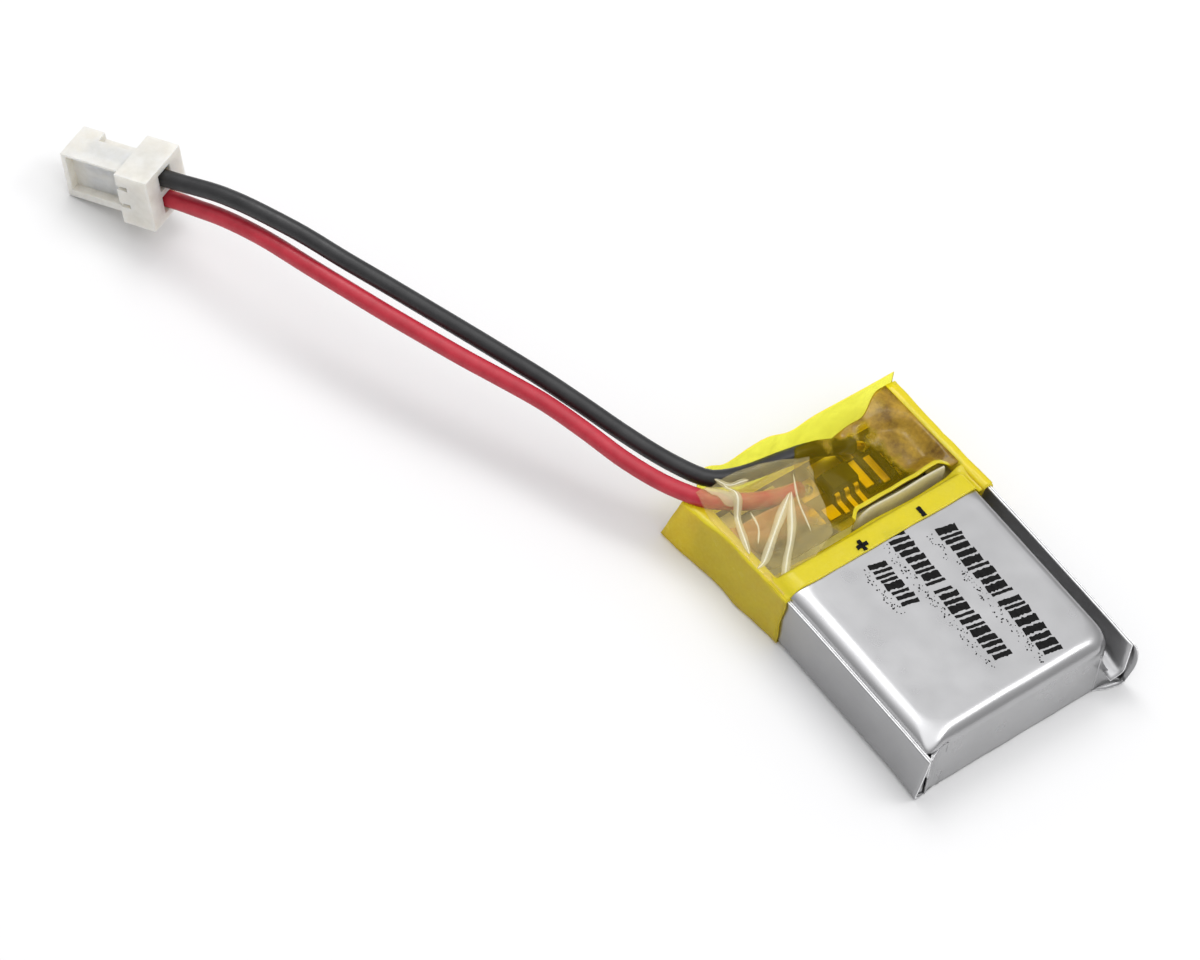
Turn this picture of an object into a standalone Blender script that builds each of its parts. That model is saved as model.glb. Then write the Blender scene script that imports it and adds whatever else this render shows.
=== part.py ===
"""Single-cell lithium polymer pack: a folded pouch cell, its protection board and a plugged pair of leads.

+X runs across the cell, +Y along it towards the board, +Z up. The origin is under the middle of the
cell, on the surface that it lies on. The leads rise from the taped end and arch over to the connector,
whose nose rests on the same surface.
"""

import math

import bmesh
import bpy
from mathutils import Matrix, Vector

MM = 0.001
GAP = 0.02 * MM

# Cell
HALF_LENGTH = 8.5 * MM
HALF_WIDTH = 6.0 * MM
CELL_THICKNESS = 3.5 * MM
LAMINATE = 0.09 * MM
CUP_WALL = 0.11 * MM
CUP_HALF_WIDTH = 5.45 * MM
CUP_FRONT = -8.3 * MM
CUP_BACK = 2.9 * MM
CUP_DRAFT = 0.3 * MM
CUP_EDGE_RADIUS = 0.62 * MM
WING_TOP = 3.0 * MM
WING_BACK = 7.2 * MM
WING_SLOPE = 0.1
FLANGE_Z = 0.405 * MM
INNER_WING_X = 5.755 * MM
BACK_SHEET_Z = 0.115 * MM
FOLD_RADIUS = 0.12 * MM

# Winding
WINDING_Z = 1.8 * MM
WINDING_HALF_STRAIGHT = 3.6 * MM
WINDING_CORE_RADIUS = 0.12 * MM
WINDING_PITCH = 0.36 * MM
WINDING_TURNS = 3
WINDING_FRONT = -7.1 * MM
WINDING_BACK = 2.1 * MM
ELECTRODE = 0.1 * MM
SEPARATOR = 0.03 * MM
STOP_TAPE_RADIUS = 1.53 * MM
STOP_TAPE_ENDS = (-6.0 * MM, 1.0 * MM)

# Tabs and board
TAB_X = 2.9 * MM
TAB_WIDTH = 1.5 * MM
TAB_THICKNESS = 0.06 * MM
TAB_Z = 0.26 * MM
TAB_FILM_HALF_WIDTH = 1.1 * MM
TAB_FILM_BOTTOM = 0.18 * MM
TAB_FILM_TOP = 0.34 * MM
WELD_PAD_HALF_WIDTH = 1.0 * MM
WELD_PAD_BOTTOM = 0.6 * MM
WELD_PAD_TOP = 0.68 * MM
BOARD_X = 5.1 * MM
BOARD_FRONT = 4.4 * MM
BOARD_BACK = 7.6 * MM
BOARD_BOTTOM = 0.7 * MM
BOARD_THICKNESS = 0.36 * MM
BOARD_TOP = BOARD_BOTTOM + BOARD_THICKNESS + GAP
CHIP_LEG_HALF_WIDTH = 0.15 * MM
CHIP_LEG_REACH = 0.6 * MM
CHIP_LEG_HEIGHT = 0.2 * MM
CHIP_STAND_OFF = 0.08 * MM
SMALL_PART_HEIGHT = 0.35 * MM
SOLDER_DOME = (0.34 * MM, 0.3 * MM, 0.3 * MM)

# Side view of a tab, in millimetres: out of the roll, down the cup's end wall, along the sealed
# terrace, and folded back under the board.
TAB_PATH = ((2.2, 1.8), (2.45, 1.8), (2.45, 0.26), (7.5, 0.26), (7.5, 0.55), (5.8, 0.55))

# Tapes
TAPE = 0.05 * MM
TAPE_FRONT = 1.4 * MM
TAPE_SIDE_X = 6.055 * MM
TAPE_FLARE = 0.4 * MM
WRAP_INSIDE_X = 5.65 * MM
WRAP_OVER_Z = 3.08 * MM

# Sections of the tapes, in millimetres: the wrap's flap over the right half of the board, seen along
# the cell, then the three other pieces.
WRAP_FLAP_SECTION = ((5.5, 2.6), (4.5, 2.3), (3.0, 2.62), (1.5, 2.9), (-0.3, 2.98))
SHOULDER_SECTION = ((1.4, 3.55), (2.74, 3.55), (3.06, 3.25), (3.11, 2.7))
END_FLAP_SECTION = ((7.8, 0.45), (8.25, 0.5), (8.45, 1.2), (8.47, 2.9))
LEAD_COVER_SECTION = ((-6.0, 3.42), (-5.0, 3.46), (-3.4, 3.25), (-1.8, 3.1), (-0.4, 3.05))

# Leads and connector
LEAD_DIAMETER = 0.8 * MM
LEAD_POINT_STEP = 1.8 * MM
CONDUCTOR_DIAMETER = 0.42 * MM
CONNECTOR_AT = Vector((-15.91, 33.61, 2.87)) * MM
CONNECTOR_YAW = math.radians(21.0)
CONNECTOR_PITCH = math.radians(20.0)
PIN_PITCH = 1.25 * MM
HOUSING_LENGTH = 4.9 * MM
BODY_WIDTH = 2.0 * MM
BODY_HEIGHT = 2.5 * MM
COLLAR_LENGTH = 1.7 * MM
COLLAR_WIDTH = 2.83 * MM
COLLAR_HEIGHT = 2.88 * MM
WIRE_BORE_HALF = 0.47 * MM
WIRE_BORE_END = 3.9 * MM
PIN_MOUTH_HALF = 0.25 * MM
LANCE_WINDOW = (1.75 * MM, 2.35 * MM)
SIDE_RECESS_END = 4.6 * MM
SIDE_RECESS_HALF = 0.95 * MM
SIDE_RECESS_DEPTH = 0.32 * MM
KEY_NOTCH_END = 3.4 * MM
KEY_NOTCH_WIDTH = 0.35 * MM
KEY_NOTCH_DEPTH = 0.12 * MM
CONTACT_ENDS = (0.6 * MM, 3.6 * MM)
CONTACT_HALF_WIDTH = 0.3 * MM
CONTACT_HALF_HEIGHT = 0.28 * MM
CONTACT_SOCKET_HALF = 0.12 * MM

# Middle of each lead, from its soldered end to the connector, in millimetres.
POSITIVE_ROUTE = (
    (-0.85, 6.35, 1.66),
    (-1.70, 6.38, 1.86),
    (-2.60, 6.45, 2.16),
    (-3.60, 6.62, 2.48),
    (-4.60, 7.00, 2.76),
    (-5.65, 7.65, 2.93),
    (-6.77, 9.10, 3.13),
    (-7.65, 10.95, 3.34),
    (-8.31, 13.00, 3.56),
    (-9.06, 15.05, 3.78),
    (-9.97, 16.90, 3.97),
    (-10.86, 18.65, 4.12),
    (-11.70, 20.50, 4.24),
    (-12.50, 22.40, 4.31),
    (-13.21, 24.35, 4.30),
    (-13.83, 26.35, 4.16),
    (-14.32, 28.30, 3.92),
    (-14.72, 29.80, 3.60),
    (-15.06, 31.00, 3.24),
    (-15.41, 32.05, 2.85),
)
NEGATIVE_ROUTE = (
    (2.75, 6.95, 1.72),
    (1.80, 7.20, 1.98),
    (0.40, 7.50, 2.30),
    (-1.20, 7.68, 2.50),
    (-2.60, 7.80, 2.64),
    (-3.80, 8.02, 2.78),
    (-4.90, 8.55, 2.92),
    (-5.95, 10.10, 3.18),
    (-6.84, 12.00, 3.46),
    (-7.62, 13.95, 3.74),
    (-8.42, 15.90, 4.00),
    (-9.28, 17.75, 4.26),
    (-10.15, 19.60, 4.50),
    (-11.02, 21.45, 4.72),
    (-11.88, 23.35, 4.90),
    (-12.70, 25.25, 5.00),
    (-13.42, 27.20, 5.02),
    (-14.02, 28.75, 4.92),
    (-14.52, 30.15, 4.70),
    (-14.93, 31.35, 4.36),
    (-15.30, 32.25, 4.03),
)


def clear_scene():
    for leftover in list(bpy.data.objects):
        bpy.data.objects.remove(leftover, do_unlink=True)


def new_collection(name, hidden):
    collection = bpy.data.collections.new(name)
    collection.hide_render = hidden
    bpy.context.scene.collection.children.link(collection)
    return collection


clear_scene()
PARTS = new_collection("lipo_battery_pack", False)
CUTTERS = new_collection("cutters", True)


def look(name, colour, roughness, metallic=0.0, alpha=1.0):
    """A Principled material in one colour."""
    material = bpy.data.materials.new(name)
    material.use_nodes = True
    shader = material.node_tree.nodes["Principled BSDF"]
    shader.inputs["Base Color"].default_value = (*colour, 1.0)
    shader.inputs["Roughness"].default_value = roughness
    shader.inputs["Metallic"].default_value = metallic
    shader.inputs["Alpha"].default_value = alpha
    return material


def add_part(name, mesh, material):
    part = bpy.data.objects.new(name, mesh)
    mesh.materials.append(material)
    PARTS.objects.link(part)
    return part


def add_cutter(name, mesh):
    cutter = bpy.data.objects.new(name, mesh)
    CUTTERS.objects.link(cutter)
    cutter.hide_render = True
    cutter.display_type = "WIRE"
    return cutter


def mesh_from(name, form):
    """The bmesh as a mesh, with its faces pointing out."""
    bmesh.ops.recalc_face_normals(form, faces=form.faces)
    mesh = bpy.data.meshes.new(name)
    form.to_mesh(mesh)
    form.free()
    return mesh


def box_mesh(name, low, high, edge=0.0):
    """A block between two corners given in metres, with its edges rounded off by edge."""
    low, high = Vector(low), Vector(high)
    form = bmesh.new()
    size = Matrix.Diagonal((*(high - low), 1.0))
    bmesh.ops.create_cube(form, size=1.0, matrix=Matrix.Translation((low + high) / 2) @ size)
    if edge:
        bmesh.ops.bevel(form, geom=form.edges, offset=edge, segments=2, profile=0.5, affect="EDGES")
    return mesh_from(name, form)


def box(name, low, high, material, edge=0.0):
    return add_part(name, box_mesh(name, low, high, edge), material)


def box_cutter(name, low, high):
    return add_cutter(name, box_mesh(name, low, high))


def mm(*values):
    return tuple(value * MM for value in values)


def combine(part, other, operation):
    modifier = part.modifiers.new(other.name, "BOOLEAN")
    modifier.object = other
    modifier.operation = operation


def rounded(points, radius, steps=3):
    """The polyline with each of its inner corners rounded off."""
    points = [Vector(point) for point in points]
    path = [points[0]]
    for before, corner, after in zip(points, points[1:], points[2:]):
        reach_in = min(radius, (before - corner).length * 0.45)
        reach_out = min(radius, (after - corner).length * 0.45)
        start = corner + (before - corner).normalized() * reach_in
        end = corner + (after - corner).normalized() * reach_out
        for step in range(steps + 1):
            t = step / steps
            path.append(start * (1 - t) ** 2 + corner * (2 * t * (1 - t)) + end * t**2)
    path.append(points[-1])
    return path


def sheet(name, profile, stations, thickness, material, across="Y", shape=None):
    """A bent sheet: the middle line of its section, carried along an axis through the stations.

    The section lies in XZ where it is carried along Y, and in YZ where it is carried along X.
    """
    form = bmesh.new()
    rows = []
    for station in stations:
        row = []
        for u, z in profile:
            point = Vector((u, station, z)) if across == "Y" else Vector((station, u, z))
            row.append(form.verts.new(shape(point) if shape else point))
        rows.append(row)
    for row, following in zip(rows, rows[1:]):
        for a, b, c, d in zip(row, row[1:], following[1:], following):
            form.faces.new((a, b, c, d))
    part = add_part(name, mesh_from(name, form), material)
    solid = part.modifiers.new("thickness", "SOLIDIFY")
    solid.thickness = thickness
    solid.offset = 0.0
    solid.use_even_offset = True
    return part


def wing_drop(point):
    """The folded seals get lower towards the board."""
    lowered = point.copy()
    if abs(point.x) > 5.2 * MM and point.y > TAPE_FRONT:
        lowered.z -= WING_SLOPE * (point.y - TAPE_FRONT) * (point.z / WING_TOP) ** 2
    return lowered


def tape_drop(point):
    """The tape follows the seals down and stands a little wide of them at its back end."""
    lowered = wing_drop(point)
    past = max(0.0, (point.y - WING_BACK) / (HALF_LENGTH - WING_BACK))
    if abs(point.x) > TAPE_SIDE_X * 0.99:
        lowered.x += math.copysign(TAPE_FLARE * past, point.x)
    return lowered


def cup_mesh(name, inset, bottom):
    """The drawn cup as a solid block with drafted walls and soft edges, inset all round."""
    top = CELL_THICKNESS - inset
    form = bmesh.new()
    bmesh.ops.create_cube(form, size=1.0)
    for vertex in form.verts:
        z = top if vertex.co.z > 0 else bottom
        lean = CUP_DRAFT * (z - FLANGE_Z) / CELL_THICKNESS
        half_width = CUP_HALF_WIDTH - inset - lean
        vertex.co.x = math.copysign(half_width, vertex.co.x)
        vertex.co.y = CUP_BACK - inset - lean if vertex.co.y > 0 else CUP_FRONT + inset + lean
        vertex.co.z = z
    soft = [edge for edge in form.edges if max(vertex.co.z for vertex in edge.verts) > 0.9 * top]
    radius = CUP_EDGE_RADIUS - inset
    bmesh.ops.bevel(form, geom=soft, offset=radius, segments=4, profile=0.5, affect="EDGES")
    return mesh_from(name, form)


def build_pouch():
    silver = look("pouch_silver", (0.62, 0.62, 0.64), 0.3, 0.9)
    backing = look("pouch_back_silver", (0.55, 0.55, 0.57), 0.34, 0.9)
    end_trim = box_cutter(
        "end_trim",
        (-CUP_HALF_WIDTH, -HALF_LENGTH - MM, -MM),
        (CUP_HALF_WIDTH, CUP_FRONT, MM),
    )

    tray = rounded(
        [
            (-INNER_WING_X, WING_TOP),
            (-INNER_WING_X, FLANGE_Z),
            (INNER_WING_X, FLANGE_Z),
            (INNER_WING_X, WING_TOP),
        ],
        FOLD_RADIUS,
    )
    cup = sheet("pouch_cup", tray, (-HALF_LENGTH, TAPE_FRONT, WING_BACK), LAMINATE, silver, shape=wing_drop)
    combine(cup, add_cutter("cup_outside", cup_mesh("cup_outside", 0.0, FLANGE_Z)), "UNION")
    combine(cup, add_cutter("cup_inside", cup_mesh("cup_inside", CUP_WALL, -MM)), "DIFFERENCE")
    combine(cup, end_trim, "DIFFERENCE")

    outer_x = HALF_WIDTH - LAMINATE / 2
    back_section = rounded(
        [(-outer_x, WING_TOP), (-outer_x, BACK_SHEET_Z), (outer_x, BACK_SHEET_Z), (outer_x, WING_TOP)],
        FOLD_RADIUS,
    )
    stations = (-HALF_LENGTH, TAPE_FRONT, WING_BACK)
    back = sheet("pouch_back", back_section, stations, LAMINATE, backing, shape=wing_drop)
    belly_low = (-5.6 * MM, CUP_FRONT + 0.05 * MM, 0.0)
    belly_high = (5.6 * MM, TAPE_FRONT - 0.05 * MM, BACK_SHEET_Z)
    combine(back, box_cutter("back_belly", belly_low, belly_high), "UNION")
    combine(back, end_trim, "DIFFERENCE")


def racetrack_spiral(start_radius):
    """A flat spiral in XZ: half circles at both sides, straight between them."""
    steps_per_side = 8
    points = []
    for turn_half in range(2 * WINDING_TURNS):
        side = 1 if turn_half % 2 == 0 else -1
        for step in range(steps_per_side + 1):
            angle = math.pi * (turn_half + step / steps_per_side) - math.pi / 2
            radius = start_radius + WINDING_PITCH * (angle + math.pi / 2) / (2 * math.pi)
            x = side * WINDING_HALF_STRAIGHT + radius * math.cos(angle)
            points.append(Vector((x, WINDING_Z + radius * math.sin(angle))))
    return points


def build_winding():
    spacing = WINDING_PITCH / 4
    layers = (
        ("anode_winding", ELECTRODE, look("graphite_foil", (0.06, 0.06, 0.065), 0.75)),
        ("separator_inner", SEPARATOR, look("separator_film", (0.86, 0.87, 0.86), 0.5)),
        ("cathode_winding", ELECTRODE, look("cathode_foil", (0.12, 0.12, 0.13), 0.7)),
        ("separator_outer", SEPARATOR, look("separator_film_outer", (0.84, 0.85, 0.84), 0.5)),
    )
    for number, (name, thickness, material) in enumerate(layers):
        path = racetrack_spiral(WINDING_CORE_RADIUS + number * spacing)
        sheet(name, path, (WINDING_FRONT, WINDING_BACK), thickness, material)
    arc = [
        (
            WINDING_HALF_STRAIGHT + STOP_TAPE_RADIUS * math.cos(math.radians(angle)),
            WINDING_Z + STOP_TAPE_RADIUS * math.sin(math.radians(angle)),
        )
        for angle in range(-75, 76, 15)
    ]
    green = look("stop_tape", (0.1, 0.45, 0.2), 0.4)
    sheet("winding_stop_tape", arc, STOP_TAPE_ENDS, SEPARATOR, green)


def tab_sleeve(name, x, material):
    """The sealing film on a tab: a flat sleeve with a slot for the tab."""
    slot_half = TAB_WIDTH / 2 + GAP
    sleeve = box(
        name,
        (x - TAB_FILM_HALF_WIDTH, 3.6 * MM, TAB_FILM_BOTTOM),
        (x + TAB_FILM_HALF_WIDTH, 6.6 * MM, TAB_FILM_TOP),
        material,
    )
    slot_low = (x - slot_half, 3.0 * MM, TAB_Z - TAB_THICKNESS / 2 - GAP)
    slot_high = (x + slot_half, 7.0 * MM, TAB_Z + TAB_THICKNESS / 2 + GAP)
    combine(sleeve, box_cutter(name + "_slot", slot_low, slot_high), "DIFFERENCE")


def build_tabs():
    metals = {
        "positive": look("tab_aluminium", (0.75, 0.75, 0.76), 0.3, 1.0),
        "negative": look("tab_nickel", (0.6, 0.57, 0.52), 0.3, 1.0),
    }
    nickel = look("pad_nickel", (0.62, 0.59, 0.54), 0.32, 1.0)
    path = rounded([mm(*point) for point in TAB_PATH], 0.14 * MM)
    for side, x in (("positive", -TAB_X), ("negative", TAB_X)):
        edges = (x - TAB_WIDTH / 2, x + TAB_WIDTH / 2)
        sheet(side + "_tab", path, edges, TAB_THICKNESS, metals[side], across="X")
        tab_sleeve(side + "_tab_film", x, look(side + "_film", (0.75, 0.7, 0.55), 0.4))
        pad_low = (x - WELD_PAD_HALF_WIDTH, 5.8 * MM, WELD_PAD_BOTTOM)
        pad_high = (x + WELD_PAD_HALF_WIDTH, 7.2 * MM, WELD_PAD_TOP)
        box(side + "_weld_pad", pad_low, pad_high, nickel)
    paper = look("insulation_paper", (0.78, 0.8, 0.74), 0.7)
    box("terrace_insulation_tape", mm(-5.3, 3.2, 0.47), mm(5.3, 7.1, 0.5), paper)
    strip = look("clear_strip", (0.68, 0.69, 0.66), 0.35)
    box("shoulder_insulation_strip", mm(0.0, 3.17, 0.52), mm(5.1, 3.45, 2.6), strip, 0.06 * MM)


def legged_chip(name, centre, body, leg_count, material):
    """A moulded chip with a row of legs that reach out of it towards -Y."""
    x, y = centre
    width, depth, height = body
    front = y - depth / 2
    low = (x - width / 2, front, BOARD_TOP + CHIP_STAND_OFF)
    high = (x + width / 2, y + depth / 2, BOARD_TOP + height)
    chip = box(name, low, high, material, 0.05 * MM)
    pitch = width / leg_count
    for number in range(leg_count):
        leg_x = x - width / 2 + pitch * (number + 0.5)
        low = (leg_x - CHIP_LEG_HALF_WIDTH, front - CHIP_LEG_REACH, BOARD_TOP)
        high = (leg_x + CHIP_LEG_HALF_WIDTH, front + 0.2 * MM, BOARD_TOP + CHIP_LEG_HEIGHT)
        combine(chip, box_cutter(f"{name}_leg_{number}", low, high), "UNION")


def build_board():
    mask = look("board_mask", (0.35, 0.2, 0.05), 0.45)
    low = (-BOARD_X, BOARD_FRONT, BOARD_BOTTOM)
    box("protection_board", low, (BOARD_X, BOARD_BACK, BOARD_BOTTOM + BOARD_THICKNESS), mask)
    moulding = look("chip_black", (0.03, 0.03, 0.03), 0.5)
    legged_chip("protection_ic", mm(-3.0, 5.3), mm(2.2, 1.0, 0.6), 3, moulding)
    legged_chip("mosfet", mm(2.1, 5.85), mm(2.8, 1.1, 0.75), 4, moulding)
    small_parts = (
        ("filter_resistor", (4.3, 4.9), (0.05, 0.05, 0.055)),
        ("sense_resistor", (4.3, 5.6), (0.06, 0.055, 0.05)),
        ("filter_capacitor", (4.3, 6.9), (0.45, 0.33, 0.2)),
    )
    for name, (x, y), colour in small_parts:
        low = mm(x - 0.5, y - 0.25, 0.0)
        high = (*mm(x + 0.5, y + 0.25), SMALL_PART_HEIGHT)
        part = box(name, low, high, look(name, colour, 0.45), 0.04 * MM)
        part.location.z = BOARD_TOP


def smooth_route(route, step):
    """Points a step apart on the smooth curve through the route's own points."""
    knots = [Vector(point) * MM for point in route]
    knots = [knots[0] * 2 - knots[1], *knots, knots[-1] * 2 - knots[-2]]
    fine = []
    for p0, p1, p2, p3 in zip(knots, knots[1:], knots[2:], knots[3:]):
        for number in range(12):
            t = number / 12
            fine.append(
                0.5
                * (
                    2 * p1
                    + (p2 - p0) * t
                    + (2 * p0 - 5 * p1 + 4 * p2 - p3) * t**2
                    + (3 * p1 - p0 - 3 * p2 + p3) * t**3
                )
            )
    fine.append(knots[-2])
    total = sum((b - a).length for a, b in zip(fine, fine[1:]))
    spans = max(1, round(total / step))
    even, walked = [fine[0]], 0.0
    for a, b in zip(fine, fine[1:]):
        length = (b - a).length
        while len(even) < spans and walked + length >= total * len(even) / spans:
            even.append(a.lerp(b, (total * len(even) / spans - walked) / length))
        walked += length
    return [*even, fine[-1]]


def tube(name, points, diameter, material):
    curve = bpy.data.curves.new(name, "CURVE")
    curve.dimensions = "3D"
    curve.bevel_depth = diameter / 2
    curve.bevel_resolution = 2
    curve.use_fill_caps = True
    spline = curve.splines.new("POLY")
    spline.points.add(len(points) - 1)
    for vertex, point in zip(spline.points, points):
        vertex.co = (*point, 1.0)
    part = bpy.data.objects.new(name, curve)
    curve.materials.append(material)
    PARTS.objects.link(part)
    return part


def connector_matrix():
    """Local -Y looks back along the leads, +X lies level across the housing and +Z is its upper side."""
    turn = Matrix.Rotation(CONNECTOR_YAW, 4, "Z") @ Matrix.Rotation(-CONNECTOR_PITCH, 4, "X")
    return Matrix.Translation(CONNECTOR_AT) @ turn


def lead_end(side):
    """Where a lead stops inside the collar, and the way it comes from."""
    height = PIN_PITCH / 2 * side
    place = connector_matrix()
    return [place @ Vector((0.0, y, height)) for y in (-0.7 * MM, 0.0, 0.5 * MM)]


def build_leads():
    solder = look("solder", (0.55, 0.55, 0.56), 0.3, 1.0)
    copper = look("tinned_copper", (0.7, 0.5, 0.38), 0.35, 1.0)
    leads = (
        ("positive", POSITIVE_ROUTE, -1, (0.42, 0.02, 0.035), (-0.25, 6.35, 1.34)),
        ("negative", NEGATIVE_ROUTE, 1, (0.015, 0.015, 0.016), (3.5, 6.7, 1.4)),
    )
    for side, route, pin_side, colour, joint in leads:
        last = [tuple(point / MM) for point in lead_end(pin_side)]
        points = smooth_route([*route, *last], LEAD_POINT_STEP)
        tube(side + "_lead", points, LEAD_DIAMETER, look(side + "_insulation", colour, 0.4))
        start = points[0]
        out = (start - points[1]).normalized() * GAP
        end = Vector(joint) * MM
        bare = [start + out, start.lerp(end, 0.45) + Vector((0, 0, 0.02 * MM)), end]
        bare[2] -= (end - start).normalized() * 0.25 * MM
        tube(side + "_conductor_end", bare, CONDUCTOR_DIAMETER, copper)
        build_solder_joint(side + "_solder_joint", end, solder)


def build_solder_joint(name, centre, material):
    """A low dome of solder on the board."""
    form = bmesh.new()
    dome = Matrix.Diagonal((*SOLDER_DOME, 1.0))
    bmesh.ops.create_uvsphere(form, u_segments=12, v_segments=8, radius=1.0, matrix=dome)
    mesh = mesh_from(name, form)
    joint = add_part(name, mesh, material)
    joint.location = (centre.x + 0.16 * MM, centre.y, BOARD_TOP + 0.1 * MM)
    low = (-MM, -MM, -0.5 * MM)
    foot = box_cutter(name + "_foot", low, (MM, MM, 0.0))
    foot.location = (centre.x, centre.y, BOARD_TOP)
    combine(joint, foot, "DIFFERENCE")


def build_connector():
    nylon = look("nylon_white", (0.86, 0.85, 0.82), 0.4)
    brass = look("contact_tin", (0.7, 0.68, 0.6), 0.3, 1.0)
    place = connector_matrix()
    body_low = (-BODY_WIDTH / 2, COLLAR_LENGTH - 0.1 * MM, -BODY_HEIGHT / 2)
    body_high = (BODY_WIDTH / 2, HOUSING_LENGTH, BODY_HEIGHT / 2)
    collar_low = (-COLLAR_WIDTH / 2, 0.0, -COLLAR_HEIGHT / 2)
    collar_high = (COLLAR_WIDTH / 2, COLLAR_LENGTH, COLLAR_HEIGHT / 2)
    housing = box("connector_housing", collar_low, collar_high, nylon, 0.07 * MM)
    housing.matrix_world = place

    def carve(name, low, high, operation="DIFFERENCE"):
        cutter = box_cutter(name, low, high)
        cutter.matrix_world = place
        combine(housing, cutter, operation)

    carve("housing_body", body_low, body_high, "UNION")
    for side in (-1, 1):
        middle = side * PIN_PITCH / 2
        bore = WIRE_BORE_HALF
        mouth = PIN_MOUTH_HALF
        carve(f"wire_bore_{side}", (-bore, -MM, middle - bore), (bore, WIRE_BORE_END, middle + bore))
        mouth_low = (-mouth, WIRE_BORE_END - MM, middle - mouth)
        carve(f"pin_mouth_{side}", mouth_low, (mouth, HOUSING_LENGTH + MM, middle + mouth))
        window = (-BODY_WIDTH, LANCE_WINDOW[0], middle - 0.2 * MM)
        carve(f"lance_window_{side}", window, (0.0, LANCE_WINDOW[1], middle + 0.2 * MM))
    recess_low = (-BODY_WIDTH, LANCE_WINDOW[0], -SIDE_RECESS_HALF)
    recess_high = (-BODY_WIDTH / 2 + SIDE_RECESS_DEPTH, SIDE_RECESS_END, SIDE_RECESS_HALF)
    carve("side_recess", recess_low, recess_high)
    notch_low = (
        BODY_WIDTH / 2 - KEY_NOTCH_WIDTH,
        LANCE_WINDOW[0],
        BODY_HEIGHT / 2 - KEY_NOTCH_DEPTH,
    )
    carve("key_notch", notch_low, (BODY_WIDTH, KEY_NOTCH_END, BODY_HEIGHT))

    for side, name in ((-1, "positive_contact"), (1, "negative_contact")):
        middle = side * PIN_PITCH / 2
        low = (-CONTACT_HALF_WIDTH, CONTACT_ENDS[0], middle - CONTACT_HALF_HEIGHT)
        high = (CONTACT_HALF_WIDTH, CONTACT_ENDS[1], middle + CONTACT_HALF_HEIGHT)
        contact = box(name, low, high, brass, 0.04 * MM)
        contact.matrix_world = place
        socket = CONTACT_SOCKET_HALF
        slot_low = (-socket, CONTACT_ENDS[0] + MM, middle - socket)
        slot = box_cutter(name + "_socket", slot_low, (socket, HOUSING_LENGTH, middle + socket))
        slot.matrix_world = place
        combine(contact, slot, "DIFFERENCE")


def build_tapes():
    yellow = look("polyimide_wrap", (0.75, 0.6, 0.05), 0.3)
    side_x = TAPE_SIDE_X
    inside_x = WRAP_INSIDE_X
    over = WRAP_OVER_Z
    section = [
        (-inside_x, 2.3 * MM),
        (-inside_x, over),
        (-side_x, over),
        (-side_x, TAPE / 2),
        (side_x, TAPE / 2),
        (side_x, over),
        (inside_x, over),
        *(mm(*point) for point in WRAP_FLAP_SECTION),
    ]
    stations = (TAPE_FRONT, WING_BACK, HALF_LENGTH)
    path = rounded(section, FOLD_RADIUS)
    wrap = sheet("wrap_tape", path, stations, TAPE, yellow, shape=tape_drop)
    front_low, front_high = mm(-6.02, 0.5, 0.35), mm(6.02, 3.55, 4.0)
    combine(wrap, box_cutter("wrap_front_trim", front_low, front_high), "DIFFERENCE")
    back_low, back_high = mm(-5.3, 8.35, 0.35), mm(5.3, 9.5, 4.0)
    combine(wrap, box_cutter("wrap_back_trim", back_low, back_high), "DIFFERENCE")

    band = rounded([mm(*point) for point in SHOULDER_SECTION], 0.16 * MM)
    band_look = look("polyimide_band", (0.85, 0.72, 0.06), 0.3)
    sheet("shoulder_tape", band, mm(-4.6, 4.6), TAPE, band_look, across="X")

    flap = rounded([mm(*point) for point in END_FLAP_SECTION], 0.2 * MM)
    flap_look = look("polyimide_flap", (0.9, 0.8, 0.08), 0.3)
    sheet("end_flap_tape", flap, mm(-3.6, 5.2), TAPE, flap_look, across="X")

    clear = look("clear_film", (0.85, 0.84, 0.78), 0.2, alpha=0.4)
    cover = rounded([mm(*point) for point in LEAD_COVER_SECTION], 0.4 * MM)
    sheet("lead_retaining_tape", cover, mm(3.2, 8.4), TAPE, clear)


build_pouch()
build_winding()
build_tabs()
build_board()
build_leads()
build_connector()
build_tapes()
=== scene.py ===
"""Looks of the single-cell pouch pack: laminate pouch, polyimide tape, board, leads and connector.

Everything is in the row frame: +X across the cell, +Y along it towards the board, +Z up. Shapes are
worked out in millimetres and scaled to metres when a mesh is made.
"""

import random
from math import copysign, cos, exp, hypot, pi, radians, sin, sqrt

import bmesh
import bpy
from mathutils import Matrix, Vector, noise


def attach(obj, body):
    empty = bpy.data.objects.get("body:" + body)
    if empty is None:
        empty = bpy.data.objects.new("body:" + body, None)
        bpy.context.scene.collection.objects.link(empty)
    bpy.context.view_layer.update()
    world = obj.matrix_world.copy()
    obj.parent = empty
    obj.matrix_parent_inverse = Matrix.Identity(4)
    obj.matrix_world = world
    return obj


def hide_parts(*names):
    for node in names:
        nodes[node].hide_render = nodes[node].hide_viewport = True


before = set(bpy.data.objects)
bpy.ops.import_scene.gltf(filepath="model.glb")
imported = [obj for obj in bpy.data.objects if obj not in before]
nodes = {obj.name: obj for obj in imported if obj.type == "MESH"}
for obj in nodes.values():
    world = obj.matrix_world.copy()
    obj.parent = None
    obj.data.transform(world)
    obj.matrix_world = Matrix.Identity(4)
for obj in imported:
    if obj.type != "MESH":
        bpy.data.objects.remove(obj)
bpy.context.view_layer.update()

MM = 0.001
WELD = 0.0005 * MM
scene = bpy.context.scene

# ---- Camera ----


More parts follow.
